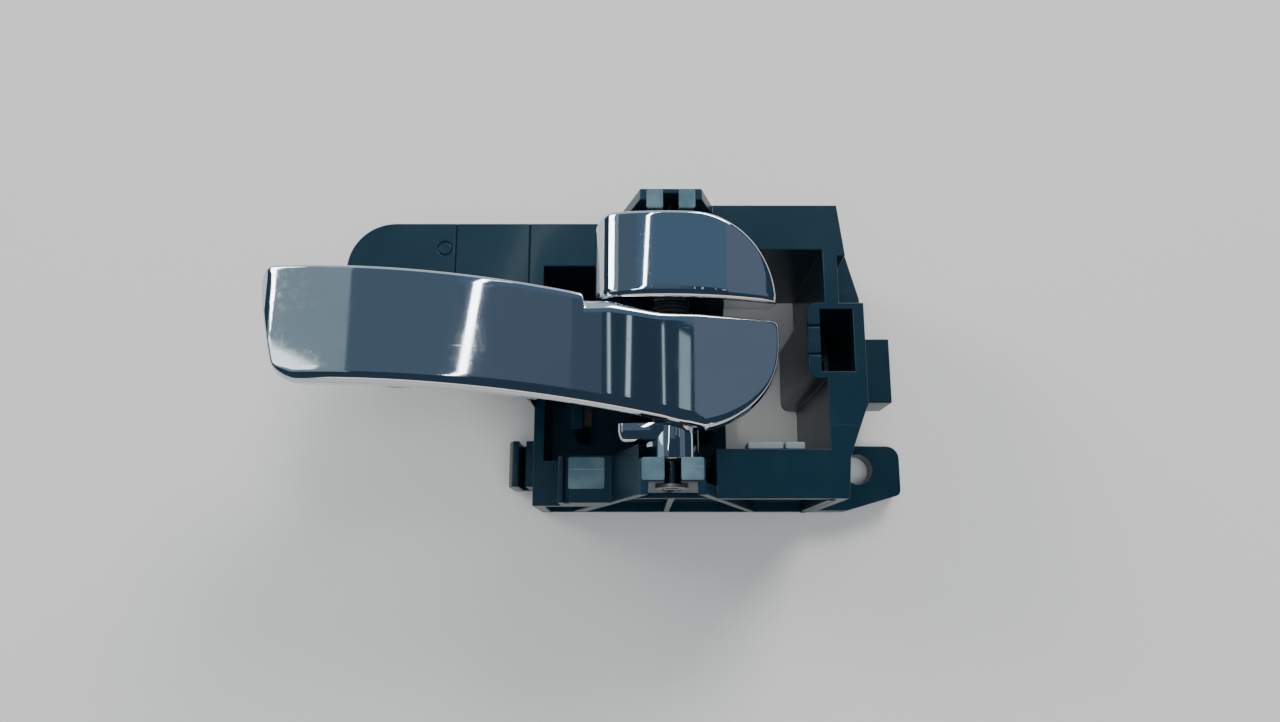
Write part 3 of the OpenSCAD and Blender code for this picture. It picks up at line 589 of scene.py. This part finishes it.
@dataclass
class BowedShell:
    """A thin chromed shell: a flat outline, a bowed front with a rolled left end, and walls round its edge.

    The front's height at x is the bow's circle, and left of the touching point the roll's circle inside it.
    """

    crown_x: float
    crown_z: float
    bow: float
    roll: float
    left: float
    thick: float = 2.0
    edge: float = 2.8
    draft: float = 0.3
    hinge_z: float = 43.0
    hub: float = 4.15

    def __post_init__(self) -> None:
        """Find where the roll touches the bow."""
        self.lean = math.asin((self.left - self.crown_x - self.roll) / (self.bow - self.roll))
        self.roll_at = np.array([-self.crown_x - (self.bow - self.roll) * math.sin(self.lean),
                                 self.crown_z - self.bow + (self.bow - self.roll) * math.cos(self.lean)])

    def front(self, x: np.ndarray, inset: Number = 0.0) -> np.ndarray:
        """Height of the front at x: a circle's middle plus the root of radius squared less distance squared.

        Args:
            x: Places along the piece.
            inset: How far both circles are drawn in, for the inner face.

        Returns:
            The heights.
        """
        bow, roll = self.bow - inset, self.roll - inset
        arch = self.crown_z - self.bow + np.sqrt(np.maximum(bow**2 - (x + self.crown_x) ** 2, 0))
        end = self.roll_at[1] + np.sqrt(np.maximum(roll**2 - (x - self.roll_at[0]) ** 2, 0))
        return np.where(x < -self.crown_x - bow * math.sin(self.lean), end, arch)

    def plan(self, inset: Number, aside: Optional[Number] = None) -> np.ndarray:
        """Outline seen from the front, drawn in by an inset.

        Args:
            inset: How far it is drawn in.
            aside: How far a step in the outline moves sideways, when that differs from the inset.

        Returns:
            The outline.
        """
        raise NotImplementedError

    def under(self, x: np.ndarray, y: np.ndarray) -> np.ndarray:
        """Height of the walls' lower edge."""
        raise NotImplementedError

    def spine(self, outline: np.ndarray) -> np.ndarray:
        """Where each point of the outline meets the middle of the face."""
        raise NotImplementedError

    def edge_at(self, outline: np.ndarray) -> np.ndarray:
        """Radius of the rounded edge at each point of the outline."""
        raise NotImplementedError

    def surface(self) -> Surface:
        """Carry one section round the outline, from the middle of the front over the edge and back inside.

        Along the section a point is the outline at some inset, at the front's height less a quarter-round
        drop at the edge: the edge's radius times one less the cosine of an angle from 0 to 90 degrees.

        Returns:
            The points and the faces.
        """
        outer, deep = self.plan(0.0), self.plan(self.edge, 0.0)
        reach = self.edge_at(outer)
        inner = self.plan(self.thick)

        def at(inset: Union[Number, np.ndarray]) -> np.ndarray:
            share = np.broadcast_to(np.asarray(inset, float) / self.edge, len(outer))[:, None]
            return outer + (deep - outer) * share

        def rim(flat: np.ndarray) -> np.ndarray:
            return self.under(flat[:, 0], flat[:, 1])

        def fall(flat: np.ndarray) -> np.ndarray:
            return np.minimum(reach, 0.45 * np.maximum(self.front(flat[:, 0]) - rim(flat), 0))

        def roof(flat: np.ndarray) -> np.ndarray:
            return np.maximum(self.front(flat[:, 0], self.thick), rim(flat) + 0.02)

        rows = []
        start = at(reach)
        middle = self.spine(start)
        for share in np.linspace(0, 1, 14)[:-1]:
            flat = middle + (start - middle) * share
            rows.append(np.column_stack([flat, self.front(flat[:, 0])]))
        for angle in np.radians(np.linspace(0, 90, 11)):
            flat = at(reach * (1 - math.sin(angle)))
            rows.append(np.column_stack([flat, self.front(flat[:, 0]) - fall(flat) * (1 - math.cos(angle))]))
        draft = np.minimum(reach * self.draft, 0.9)
        for share in (0.2, 0.45, 0.7, 0.92):
            flat = at(draft * share)
            height = (self.front(flat[:, 0]) - fall(flat)) * (1 - share) + rim(flat) * share
            rows.append(np.column_stack([flat, height]))
        lip = at(draft)
        rows += [np.column_stack([lip + (inner - lip) * share, rim(lip)]) for share in (0.1, 0.3, 0.8, 0.97)]
        for share in (0.1, 0.5, 0.9, 1.0):
            rows.append(np.column_stack([inner, rim(inner) * (1 - share) + (roof(inner) - 0.01) * share]))
        middle = self.spine(inner)
        for share in np.linspace(1, 0, 6):
            flat = middle + (inner - middle) * share
            rows.append(np.column_stack([flat, roof(flat)]))
        stack = np.array(rows)
        return stack.reshape(-1, 3), grid_faces(len(stack), stack.shape[1])

    def arch(self, x: np.ndarray, height: np.ndarray, radius: Number, where: np.ndarray) -> np.ndarray:
        """Lift a wall's lower edge over a round hub, by the height of a circle round the hinge.

        Args:
            x: Places along the piece.
            height: Height of the edge without the hub.
            radius: Radius of the circle.
            where: Which points the hub is near.

        Returns:
            Near the hub, the hinge's height plus the root of radius squared less x squared, if higher.
        """
        over = self.hinge_z + np.sqrt(np.maximum(radius**2 - x**2, 0))
        return np.where(where & (np.abs(x) < radius), np.maximum(height, over), height)


@dataclass
class LeverShell(BowedShell):
    """The pull lever's chromed shell, with the neck and collar that run down to the hinge."""

    crown_x: float = 40.0
    crown_z: float = 56.8
    bow: float = 168.0
    roll: float = 5.0
    left: float = 82.4
    width: float = 22.4
    taper: float = 0.03
    heel_reach: float = 22.0
    heel: float = 18.6
    sweep: float = 470.0
    level_x: float = 92.0
    low: float = -18.6
    top: float = 6.4
    tip_y: float = 4.5
    tip: float = 1.4
    ledge: float = 17.6
    skirt: float = 8.0
    collar_arch: float = 4.6
    lift: float = 0.8
    high_r: float = 3.2
    low_r: float = 6.0

    def mid(self, x: np.ndarray) -> np.ndarray:
        """Middle line of the band: a parabola, level at its far end, with the sweep's radius."""
        dip = (self.level_x**2 - (x + self.level_x) ** 2) / (2 * self.sweep)
        return self.low + self.width / 2 + self.lift + dip

    def half(self, x: np.ndarray) -> np.ndarray:
        """Half the band's width, which grows evenly away from the hinge."""
        return (self.width - self.taper * (x + self.crown_x)) / 2

    def plan(self, inset: Number, aside: Optional[Number] = None) -> np.ndarray:
        """Band with two round corners on the left, a ledge beside the knob and a large round heel."""
        high_r, low_r, slant = self.high_r, self.low_r, 4.0
        top_x, low_x = -self.left + high_r, -self.left + slant + low_r
        heel_x, heel_y = self.heel_reach - self.heel, self.low + self.heel
        aside = inset if aside is None else aside
        ledge = -self.ledge - aside

        def line(a: Number, b: Number, n: int, f: Callable[[np.ndarray], np.ndarray]) -> np.ndarray:
            x = np.linspace(a, b, n)
            return np.column_stack([x, f(x)])

        def above(x: np.ndarray) -> np.ndarray:
            return self.mid(x) + self.half(x) - inset

        def beside(x: np.ndarray) -> np.ndarray:
            flat = np.minimum(self.mid(x + aside) + self.half(x + aside), self.top)
            lift = 0.5 * (flat + self.tip_y + np.sqrt((flat - self.tip_y) ** 2 + 0.06))
            return np.minimum(lift, self.top) - inset

        def ramp(x: np.ndarray) -> np.ndarray:
            fade = 0.5 - 0.5 * np.tanh((x - ledge - 0.3) * 7)
            return beside(x) + np.maximum(above(x) - beside(x), 0) * fade

        corner = bend([top_x, self.mid(top_x) + self.half(top_x) - high_r], high_r - inset, 195, 93, 30)
        upper = line(top_x + 0.4, ledge - 0.4, 160, above)
        step = line(ledge - 0.2, ledge + 1.6, 18, ramp)
        flank = line(ledge + 1.9, self.heel_reach - inset - self.tip - 0.05, 120, beside)
        tip_at = [self.heel_reach - inset - self.tip, self.tip_y - inset - self.tip]
        tip = bend(tip_at, self.tip, 89, 1, 14)
        heel = bend([heel_x, heel_y], self.heel - inset, -0.5, -78, 110)
        lower = line(heel[-1][0] - 0.5, low_x + 0.3, 170, lambda x: self.mid(x) - self.half(x) + inset)
        foot = bend([low_x, self.mid(low_x) - self.half(low_x) + low_r], low_r - inset, 264, 195, 36)
        flat_end = np.linspace(foot[-1], corner[0], 26)[1:-1]
        return np.concatenate([corner, upper, step, flank, tip, heel, lower, foot, flat_end])

    def edge_at(self, outline: np.ndarray) -> np.ndarray:
        """A wide soft edge on the lower side, a fading scoop beside the knob, and crisp edges elsewhere."""
        along = np.roll(outline, -1, 0) - np.roll(outline, 1, 0)
        facing = -along[:, 0] / np.maximum(np.hypot(along[:, 0], along[:, 1]), 1e-9)
        lower = np.clip((facing - 0.35) / 0.6, 0, 1)
        x, upper = outline[:, 0], facing < 0
        rise = np.clip((x + self.ledge) / 0.5, 0, 1)
        scoop = np.where(upper & (x > -self.ledge), rise * np.clip((5 - x) / 22, 0, 1), 0)
        reach = 0.65 + 1.6 * lower * lower * (3 - 2 * lower) + 2.0 * scoop
        kernel = np.ones(5) / 5
        return np.convolve(np.concatenate([reach[-2:], reach, reach[:2]]), kernel, "valid")

    def under(self, x: np.ndarray, y: np.ndarray) -> np.ndarray:
        """A bow parallel to the front, a nose on the left, and arches over the hub and the collar."""
        deep = self.bow - self.skirt
        height = self.crown_z - self.bow + np.sqrt(deep**2 - (x + self.crown_x) ** 2)
        knee = -self.left + self.roll / 2
        knee_z = self.crown_z - self.bow + math.sqrt(deep**2 - (knee + self.crown_x) ** 2)
        nose = self.roll_at[1] + (x + self.left) / (self.roll / 2) * (knee_z - self.roll_at[1])
        height = np.where(x < knee, nose, height)
        return self.arch(x, self.arch(x, height, self.hub, y > 0), self.collar_arch, y < -12)

    def spine(self, outline: np.ndarray) -> np.ndarray:
        """The band's middle line, from one half width inside the left end to the middle of the heel."""
        x = np.clip(outline[:, 0], -self.left + 10.5, self.heel_reach - 13.0)
        return np.column_stack([x, self.mid(x) - 0.2])

    def neck(self) -> Surface:
        """The collar round the hub, and the neck: a rounded web that widens towards the grip."""
        outer, low, high = 5.4, -23.95, -16.7
        corners = [[self.hub, low], [outer, low], [outer, high], [self.hub, high]]
        wall = softened(corners, [0.2, 0.4, 0.3, 0.2])
        collar = turned(wall, Axis.ALONG_Y, (0, 0, self.hinge_z), 72)
        web = softened([[-10.8, 43.9], [-10.6, 46.9], [-0.5, 48.3], [0.5, 37.8], [-8.0, 41.0]],
                       [1.2, 1.2, 0.8, 0.8, 1.6], 7)
        levels = [(-20.45, 1.3), (-20.3, 0.85), (-19.9, 0.45), (-19.2, 0.2), (-18.4, 0.0), (-16.9, 0.0),
                  (-16.7, 0.4)]
        return joined(collar, stacked(web, levels, Axis.ALONG_Y))


@dataclass
class KnobShell(BowedShell):
    """The lock knob's chromed cap."""

    crown_x: float = 1.2
    crown_z: float = 54.5
    bow: float = 49.0
    roll: float = 7.0
    left: float = 15.6
    right: float = 21.0
    corner: float = 17.0
    low: float = 7.1
    top: float = 24.8
    rim: float = 42.3

    def plan(self, inset: Number, aside: Optional[Number] = None) -> np.ndarray:
        """A block with one large round corner on the right and two small ones on the left."""
        small, sharp = 3.5, 2.3
        first = bend([-self.left + small, self.top - small], small - inset, 180, 90, 20)
        centre = [self.right - self.corner, self.top - self.corner]
        radius = self.corner - inset
        last = math.degrees(math.asin((self.low + inset - centre[1]) / radius))
        large = bend(centre, radius, 90, last, 80)
        tight = max(sharp - inset, 0.05)
        low_left = bend([-self.left + inset + tight, self.low + inset + tight], tight, 270, 180, 14)
        upper = np.linspace(first[-1], large[0], 22)[1:-1]
        x = np.linspace(large[-1][0], low_left[0][0], 122)[1:-1]
        lower = np.column_stack([x, np.full(len(x), self.low + inset)])
        side = np.linspace(low_left[-1], first[0], 26)[1:-1]
        return np.concatenate([first, upper, large, lower, low_left, side])

    def edge_at(self, outline: np.ndarray) -> np.ndarray:
        """A softer edge on the lower side, a crisp one round the rest."""
        return 0.7 + 0.7 * np.clip((self.low + 1.5 - outline[:, 1]) / 1.5, 0, 1)

    def under(self, x: np.ndarray, y: np.ndarray) -> np.ndarray:
        """A level rim with an arch over the hub in both side walls."""
        near = (y < self.low + 4) | (y > self.top - 4)
        return self.arch(x, np.full(len(x), self.rim), self.hub, near)

    def spine(self, outline: np.ndarray) -> np.ndarray:
        """A short line along the middle of the face."""
        x = np.clip(outline[:, 0], -self.left + 8.0, self.right - 12.0)
        return np.column_stack([x, np.full(len(x), (self.low + self.top) / 2)])


# ---------------------------------------------------------------------------------------- sub-assemblies


@dataclass
class Moulded:
    """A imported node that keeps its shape: merged, cleaned of flat cuts and given soft edges."""

    node: str
    body: Body
    finish: Finish
    slot: str
    radius: float
    steps: int = 2
    sharp: float = 38.0
    flat: float = 0.6

    def build(self) -> bpy.types.Object:
        """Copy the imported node's mesh, merge it, and round its sharp edges.

        Returns:
            The piece that stands for the node.
        """
        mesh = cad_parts[self.node].data.copy()
        mesh.name = self.node + "_skin"
        mesh.materials.clear()
        work = bmesh.new()
        work.from_mesh(mesh)
        bmesh.ops.remove_doubles(work, verts=work.verts, dist=MERGE)
        bmesh.ops.dissolve_limit(work, angle_limit=math.radians(self.flat), verts=work.verts,
                                 edges=work.edges)
        work.to_mesh(mesh)
        work.free()
        piece = Piece(self.node + "_skin", self.body, self.finish, self.slot, [self.node], 180.0).place(mesh)
        soft = piece.modifiers.new("soft_edges", "BEVEL")
        soft.width = self.radius * MM
        soft.segments = self.steps
        soft.limit_method = "ANGLE"
        soft.angle_limit = math.radians(self.sharp)
        soft.use_clamp_overlap = False
        level = piece.modifiers.new("level_faces", "WEIGHTED_NORMAL")
        level.mode = "FACE_AREA"
        level.weight = 90
        return piece


@dataclass
class Hinge:
    """What turns on the hinge: sizes of the pin, the bushes and the springs, along and round its axis."""

    z: float = 43.0
    pin: float = 2.0
    bore: float = 2.05
    sleeve: float = 2.8
    flange: float = 3.7
    flange_t: float = 0.8
    sleeve_l: float = 6.0
    coil: float = 5.1
    wire: float = 0.6
    turns: float = 4.5
    pitch: float = 1.4
    coil_low: float = -8.8
    leg_low: float = 26.9
    leg_l: float = 9.0

    def ring(self, corners: Sequence[Sequence[Number]], reach: Number,
             wave: Optional[Wave] = None,
             steps: int = 64) -> Surface:
        """A turned piece on the hinge with soft corners."""
        return turned(softened(corners, reach), Axis.ALONG_Y, (0, 0, self.z), steps, wave)

    def bush(self, seat: Number, up: bool) -> Surface:
        """A flanged bush: the sleeve runs into the hub from the seat and the flange lies on the hub's end.

        Args:
            seat: Height of the hub's end along the hinge.
            up: Whether that end faces the knob's side.

        Returns:
            The points and the faces.
        """
        way = 1 if up else -1
        inner, outer = seat - way * self.sleeve_l, seat + way * self.flange_t
        return self.ring([[self.bore, inner], [self.sleeve, inner], [self.sleeve, seat], [self.flange, seat],
                          [self.flange, outer], [self.bore, outer]], [0.15, 0.25, 0.06, 0.12, 0.2, 0.15])

    def build_pin(self) -> None:
        """The pin with chamfered ends, its push-on ring with six cuts, and the thrust washer."""
        low, high = packed_box("hinge_pin")
        shaft = self.ring([[0.01, low[1]], [self.pin, low[1]], [self.pin, high[1]], [0.01, high[1]]],
                          [0.005, 0.45, 0.45, 0.005])
        Piece("ground_pin", Body.HOUSING, PIN_STEEL, "pin_steel", ["hinge_pin"]).make(*shaft)
        low, high = packed_box("pin_retainer")

        def cuts(angle: np.ndarray, profile: np.ndarray) -> np.ndarray:
            inside = profile[..., 0] < self.pin + 0.5
            return np.where(inside & (np.abs((angle * 3 / math.pi + 0.5) % 1 - 0.5) < 0.13), 0.62, 0.0)

        ring = self.ring([[self.pin + 0.02, low[1]], [self.pin + 1.3, low[1]], [self.pin + 1.3, high[1]],
                          [self.pin + 0.02, high[1]]], 0.12, cuts, 180)
        Piece("push_on_ring", Body.HOUSING, SPRING_STEEL, "spring_steel", ["pin_retainer"]).make(*ring)
        low, high = packed_box("thrust_washer")
        washer = self.ring([[self.bore, low[1]], [self.flange, low[1]], [self.flange, high[1]],
                            [self.bore, high[1]]], 0.15)
        Piece("washer_turned", Body.HOUSING, BEARING, "bush_plastic", ["thrust_washer"]).make(*washer)

    def build_springs(self) -> None:
        """The torsion spring, a helix with two straight legs, and the leaf, a bent strip with a ridge.

        The helix at angle a lies at minus the coil's radius times cosine a, and the hinge's height plus the
        radius times sine a, and climbs by the pitch in each turn.
        """
        a = np.linspace(0, 2 * math.pi * self.turns, 260)[:, None]
        helix = np.hstack([-self.coil * np.cos(a), self.coil_low + self.pitch * a / (2 * math.pi),
                           self.z + self.coil * np.sin(a)])
        leg = np.linspace([-self.coil, self.coil_low - 0.05, self.leg_low], helix[0], 30)[:-1]
        tail = np.linspace(helix[-1], helix[-1] - [0, 0, self.leg_l], 24)[1:]
        wire = bend([0, 0], self.wire, 0, 337.5, 16)
        coil = swept(np.concatenate([leg, helix, tail]), wire, (0, 1, 0))
        lowest, highest = self.coil_low + 2 * self.wire, helix[-1, 1] - 2 * self.wire
        Piece("torsion_coil", Body.HOUSING, SPRING_STEEL, "spring_steel", ["return_spring"], 60.0,
              ((0.0, lowest, self.z), (0.0, highest, self.z))).make(*coil)
        low, high = packed_box("detent_spring")
        x, t, top = 8.5, 0.5, 34.75
        front = [[x, low[2]], [x + t, low[2]], [x + t, top - 2.2], [1.6, top], [0, top + 0.9], [-1.6, top],
                 [-1.6, top - t], [0, top + 0.9 - t], [1.6, top - t], [x, top - 2.2 - t]]
        outline = softened(front, [0.1, 0.1, 1.2, 0.5, 0.5, 0.1, 0.1, 0.5, 0.5, 1.0], 6)
        strip = stacked_strip(outline, low[1], high[1])
        Piece("detent_leaf", Body.HOUSING, SPRING_STEEL, "spring_steel", ["detent_spring"], 50).make(*strip)

    def build(self) -> None:
        """Build and dress the pieces on the hinge, and the bushes of both hubs."""
        self.build_pin()
        self.build_springs()
        for body in (Body.LEVER, Body.KNOB):
            for end in ("lower", "upper"):
                node, up = f"{body.value}_bush_{end}", end == "upper"
                low, high = packed_box(node)
                seat = high[1] - self.flange_t if up else low[1] + self.flange_t
                Piece(node + "_turned", body, BEARING, "bush_plastic", [node]).make(*self.bush(seat, up))


def stacked_strip(outline: np.ndarray, low: Number, high: Number) -> Surface:
    """A thin folded strip: its side view at both edges, with the two side faces closed between its two skins.

    The side view's first half is one skin and its second half, read backwards, the other.

    Args:
        outline: Side view, an even number of points.
        low: Lower edge along the hinge.
        high: Upper edge along the hinge.

    Returns:
        The points and the faces.
    """
    half = len(outline) // 2
    count = len(outline)
    rows = np.array([np.column_stack([outline[:, 0], np.full(count, y), outline[:, 1]]) for y in (low, high)])
    wall = grid_faces(2, count)
    j = np.arange(half - 1)
    side = np.stack([j, j + 1, count - 2 - j, count - 1 - j], -1)
    return rows.reshape(-1, 3), np.concatenate([wall, side, side[:, ::-1] + count])


@dataclass
class HighlightLands:
    """Lighter lands on the housing that paint the highlight of its lit top faces: the four beside the pin's
    slots and the one on the lower rail.
    """

    boss_z: float = 50.0
    ledge_z: float = 30.0
    proud: float = 0.12
    corner: float = 0.5

    def build(self) -> None:
        """Build thin rounded lands, a little proud of the moulding, whose lighter colour is painted
        highlight.
        """
        lands = []
        for x0, x1, y0, y1, z in (
                (-5.0, -1.6, 26.9, 30.9, self.boss_z), (1.6, 5.0, 26.9, 30.9, self.boss_z),
                (-6.0, -1.6, -28.3, -23.9, self.boss_z), (1.6, 6.0, -28.3, -23.9, self.boss_z),
                (-21.5, -13.8, -28.2, -21.5, self.ledge_z)):
            outline = softened([[x0, y0], [x1, y0], [x1, y1], [x0, y1]], self.corner)
            levels = soft_ends(z - 0.3, z + self.proud, 0.1)
            lands.append(stacked(outline, levels, Axis.ALONG_Z))
        # the lands' lighter plastic is painted highlight on lit top faces
        Piece("painted_highlight_lands", Body.HOUSING, HIGHLIGHT_MOULDING, "housing_plastic").make(*joined(*lands))


@dataclass
class Fittings:
    """Small loose fittings in the housing: the screw's spring nut, two buffers and three rubber stops."""

    thread: float = 0.8
    bore: float = 2.1

    def build_nut(self) -> None:
        """A pierced plate with two turned-up blades and a threaded collar.

        The thread's grooves lie where height over pitch less angle over one turn is whole.
        """
        low, high = packed_box("spring_nut")
        middle = (low + high) / 2
        top = low[2] + 3.0

        def grooves(angle: np.ndarray, profile: np.ndarray) -> np.ndarray:
            phase = (profile[..., 1] / self.thread - angle / (2 * math.pi)) % 1
            return np.where(profile[..., 0] < self.bore + 0.3, 0.22 * np.abs(2 * phase - 1), 0.0)

        inner = np.column_stack([np.full(26, self.bore), np.linspace(2.95, 0.05, 26)])
        outer = [[2.2, 0.0], [2.75, 0.0], [2.9, 0.15], [2.9, 2.2], [3.0, 2.3], [3.0, 3.0]]
        profile = np.concatenate([outer, inner])
        collar = turned(profile, Axis.ALONG_Z, (middle[0], middle[1], low[2]), 72, grooves)
        w, h = high[0] - middle[0], high[1] - middle[1]
        t, hole, steps = 0.8, 2.95, 64
        angle = np.linspace(0, 2 * math.pi, steps, endpoint=False)
        ring = np.column_stack([np.cos(angle), np.sin(angle)])
        square = ring / np.abs(ring).max(1, keepdims=True) * [w - 0.05, h - 0.05]
        plate = []
        for z, flat in ((top - t, ring * hole), (top - t, square), (top, square), (top, ring * hole)):
            plate.append(np.column_stack([flat + middle[:2], np.full(steps, z)]))
        sheet = np.concatenate(plate), grid_faces(len(plate), steps, wrap_rows=True)
        corners = [[-w, top], [w, top], [w - 0.8, high[2]], [0.8 - w, high[2]]]
        blade = softened(corners, [0.1, 0.1, 1.4, 1.4], 6)
        blades = [stacked(blade, soft_ends(y, y + t, 0.12), Axis.ALONG_Y, (middle[0], 0, 0))
                  for y in (low[1], high[1] - t)]
        Piece("pierced_nut", Body.HOUSING, NUT_STEEL, "nut_steel", ["spring_nut"], 35).make(
            *joined(collar, sheet, *blades))

    def build_buffers(self) -> None:
        """Two strips with rounded rims, in a light grey that is painted highlight on their lit top faces."""
        for node in ("buffer_inner", "buffer_outer"):
            low, high = packed_box(node)
            face = softened([[low[0], low[2]], [high[0], low[2]], [high[0], high[2]], [low[0], high[2]]], 0.5)
            Piece(node + "_strip", Body.HOUSING, BUFFER_HIGHLIGHT, "buffer_plastic", [node]).make(
                *stacked(face, soft_ends(low[1], high[1], 0.3), Axis.ALONG_Y))

    def build_stops(self) -> None:
        """Rubber discs: the back is flat, the face a low dome with a rounded rim."""
        for node, way in (("lever_rest_bumper", -1), ("lever_open_bumper", 1), ("knob_bumper", 1)):
            low, high = packed_box(node)
            middle = (low + high) / 2
            back, face = (low[0], high[0]) if way > 0 else (high[0], low[0])
            r = (high[1] - low[1]) / 2
            arc = np.radians(np.linspace(0, 90, 10))
            dome = np.column_stack([r * np.cos(arc) ** 0.5, face - way * (1 - np.sin(arc)) * 0.9])
            profile = np.concatenate([[[0.0, back], [r - 0.1, back], [r, back + way * 0.1]], dome])
            Piece(node + "_disc", Body.HOUSING, RUBBER, "bumper_rubber", [node]).make(
                *turned(profile, Axis.ALONG_X, (0, middle[1], middle[2]), 48))

    def build(self) -> None:
        """Build and dress all the fittings."""
        self.build_nut()
        self.build_buffers()
        self.build_stops()


@dataclass
class PullLever:
    """The pull lever: chromed shell with its neck and collar, core and liner."""

    shell: LeverShell = field(default_factory=LeverShell)

    def build(self) -> None:
        """Build and dress the lever's pieces."""
        Piece("lever_skin", Body.LEVER, CHROME, "chrome", ["lever_shell"], 50).make(
            *joined(self.shell.surface(), self.shell.neck()))
        Moulded("lever_core", Body.LEVER, CORE, "core_plastic", 0.15).build()
        Moulded("lever_liner", Body.LEVER, LINER, "liner_plastic", 0.15).build()


@dataclass
class LockKnob:
    """The lock knob: chromed cap and core with its cam."""

    shell: KnobShell = field(default_factory=KnobShell)

    def build(self) -> None:
        """Build and dress the knob's pieces."""
        Piece("knob_skin", Body.KNOB, CHROME, "chrome", ["knob_cap"], 50).make(*self.shell.surface())
        Moulded("knob_core", Body.KNOB, CORE, "core_plastic", 0.15).build()


@dataclass
class Studio:
    """Camera, floor and soft lights."""

    eye: tuple[float, float, float] = (-6.3, -46.5, 234.0)
    tilt: float = 12.7
    lens: float = 27.06

    def camera(self) -> None:
        """A hand-held height above the table, tipped a little away from the handle's near side."""
        data = bpy.data.cameras.new("camera")
        data.lens = self.lens
        data.sensor_width = 36.0
        data.clip_start = 0.01
        camera = bpy.data.objects.new("camera", data)
        camera.location = np.array(self.eye) * MM
        camera.rotation_euler = (math.radians(self.tilt), 0.0, 0.0)
        bpy.context.scene.collection.objects.link(camera)
        bpy.context.scene.camera = camera

    def lamp(self, name: str, place: Sequence[Number], size: Sequence[Number], power: Number,
             colour: Sequence[Number], turn: Optional[Number] = None, mirrored: bool = True) -> None:
        """Add a soft box.

        Args:
            name: Name of the light.
            place: Where it hangs, in metres.
            size: Its width and length in metres.
            power: Its power in watts.
            colour: Its colour.
            turn: How far it is turned about the vertical, in degrees, when it faces straight down. Without it
                the light faces the handle.
            mirrored: Whether it shows in reflections.
        """
        data = bpy.data.lights.new(name, "AREA")
        data.shape = "RECTANGLE"
        data.size, data.size_y = size
        data.energy = power
        data.color = colour
        light = bpy.data.objects.new(name, data)
        light.location = place
        light.visible_glossy = mirrored
        aimed = (-Vector(place)).to_track_quat("-Z", "Y").to_euler()
        light.rotation_euler = aimed if turn is None else (0.0, 0.0, math.radians(turn))
        bpy.context.scene.collection.objects.link(light)

    def floor(self) -> None:
        """A wide sheet, level near the handle, that rises by the square of the distance beyond that."""
        half, level, gap, steps = 900, 500, 0.02, 41
        x, y = np.meshgrid(np.linspace(-half, half, steps), np.linspace(-half, half, steps))
        reach = np.maximum(np.hypot(x, y) - level, 0)
        z = reach**2 / 4000 - gap
        points = np.stack([x, y, z], -1).reshape(-1, 3)
        mesh = bpy.data.meshes.new("floor")
        mesh.from_pydata(points * MM, [], grid_faces(steps, steps, wrap_columns=False).tolist())
        mesh.polygons.foreach_set("use_smooth", np.ones(len(mesh.polygons), bool))
        floor = bpy.data.objects.new("floor", mesh)
        mesh.materials.append(Paper("pale_floor").material())
        bpy.context.scene.collection.objects.link(floor)

    def build(self) -> None:
        """Set the room's light and put up the lamps."""
        world = bpy.data.worlds.new("room")
        bpy.context.scene.world = world
        world.use_nodes = True
        shade = world.node_tree.nodes["Background"]
        shade.inputs["Color"].default_value = (0.03, 0.055, 0.085, 1.0)
        shade.inputs["Strength"].default_value = 1.0
        self.floor()
        height = 1.28
        for name, x, y, width, length, glow, colour, turn in (
                ("tube", -0.19, 0.45, 0.032, 0.9, 11.0, (0.96, 1.0, 1.0), -21.5),
                ("frame_a", 0.365, 0.295, 0.014, 0.15, 0.7, (0.8, 0.95, 1.0), 2),
                ("frame_b", 0.46, 0.295, 0.022, 0.15, 0.8, (0.8, 0.95, 1.0), -3),
                ("frame_c", 0.645, 0.295, 0.012, 0.15, 0.7, (0.8, 0.95, 1.0), 2),
                ("frame_d", 0.77, 0.295, 0.07, 0.15, 0.42, (0.75, 0.95, 1.0), -2)):
            self.lamp(name, (x, y, height), (width, length), glow * math.pi * width * length, colour, turn)
        height = 1.31
        for name, x, y, width, length, glow, colour in (
                ("left_sky", -1.62, 0.3, 1.5, 1.2, 0.34, (0.74, 0.93, 1.0)),
                ("blue_mid", -0.59, 0.4, 0.56, 1.0, 0.115, (0.58, 0.78, 1.0)),
                ("blue_low", -0.055, 0.285, 0.51, 0.23, 0.105, (0.62, 0.74, 1.0)),
                ("blue_dim", 0.27, 0.285, 0.14, 0.23, 0.065, (0.62, 0.74, 1.0)),
                ("blue_high", 0.27, 0.625, 1.16, 0.45, 0.16, (0.42, 0.68, 1.0)),
                ("right_sky", 1.37, 0.4, 1.04, 1.2, 0.16, (0.68, 0.78, 1.0))):
            self.lamp(name, (x, y, height), (width, length), glow * math.pi * width * length, colour, 0)
        self.lamp("left_spot", (-1.4, 0.3, 1.27), (0.75, 0.2), 0.9, (0.95, 1.0, 1.0), -13.5)
        self.lamp("back_wall", (0.0, 1.9, 1.1), (3.4, 2.2), 16.0, (0.8, 0.93, 1.0))
        self.lamp("warm_front", (0.1, -1.7, 0.35), (2.6, 0.5), 6.0, (1.0, 0.78, 0.6))
        self.lamp("key", (0.9, 1.5, 1.25), (0.9, 0.7), 30.0, (1.0, 0.96, 0.9))
        self.lamp("side", (-1.7, 0.9, 1.1), (0.7, 0.7), 18.0, (1.0, 0.98, 0.95))
        self.lamp("overhead_fill", (0.05, -0.24, 1.3), (1.0, 0.6), 9.0, (0.92, 0.97, 1.0), mirrored=False)


def main() -> None:
    """Build the studio and every sub-assembly."""
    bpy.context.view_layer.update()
    studio = Studio()
    studio.camera()
    studio.build()
    Moulded("housing", Body.HOUSING, BLACK, "housing_plastic", 0.22).build()
    HighlightLands().build()
    Hinge().build()
    Fittings().build()
    PullLever().build()
    LockKnob().build()


if __name__ == "__main__":
    main()
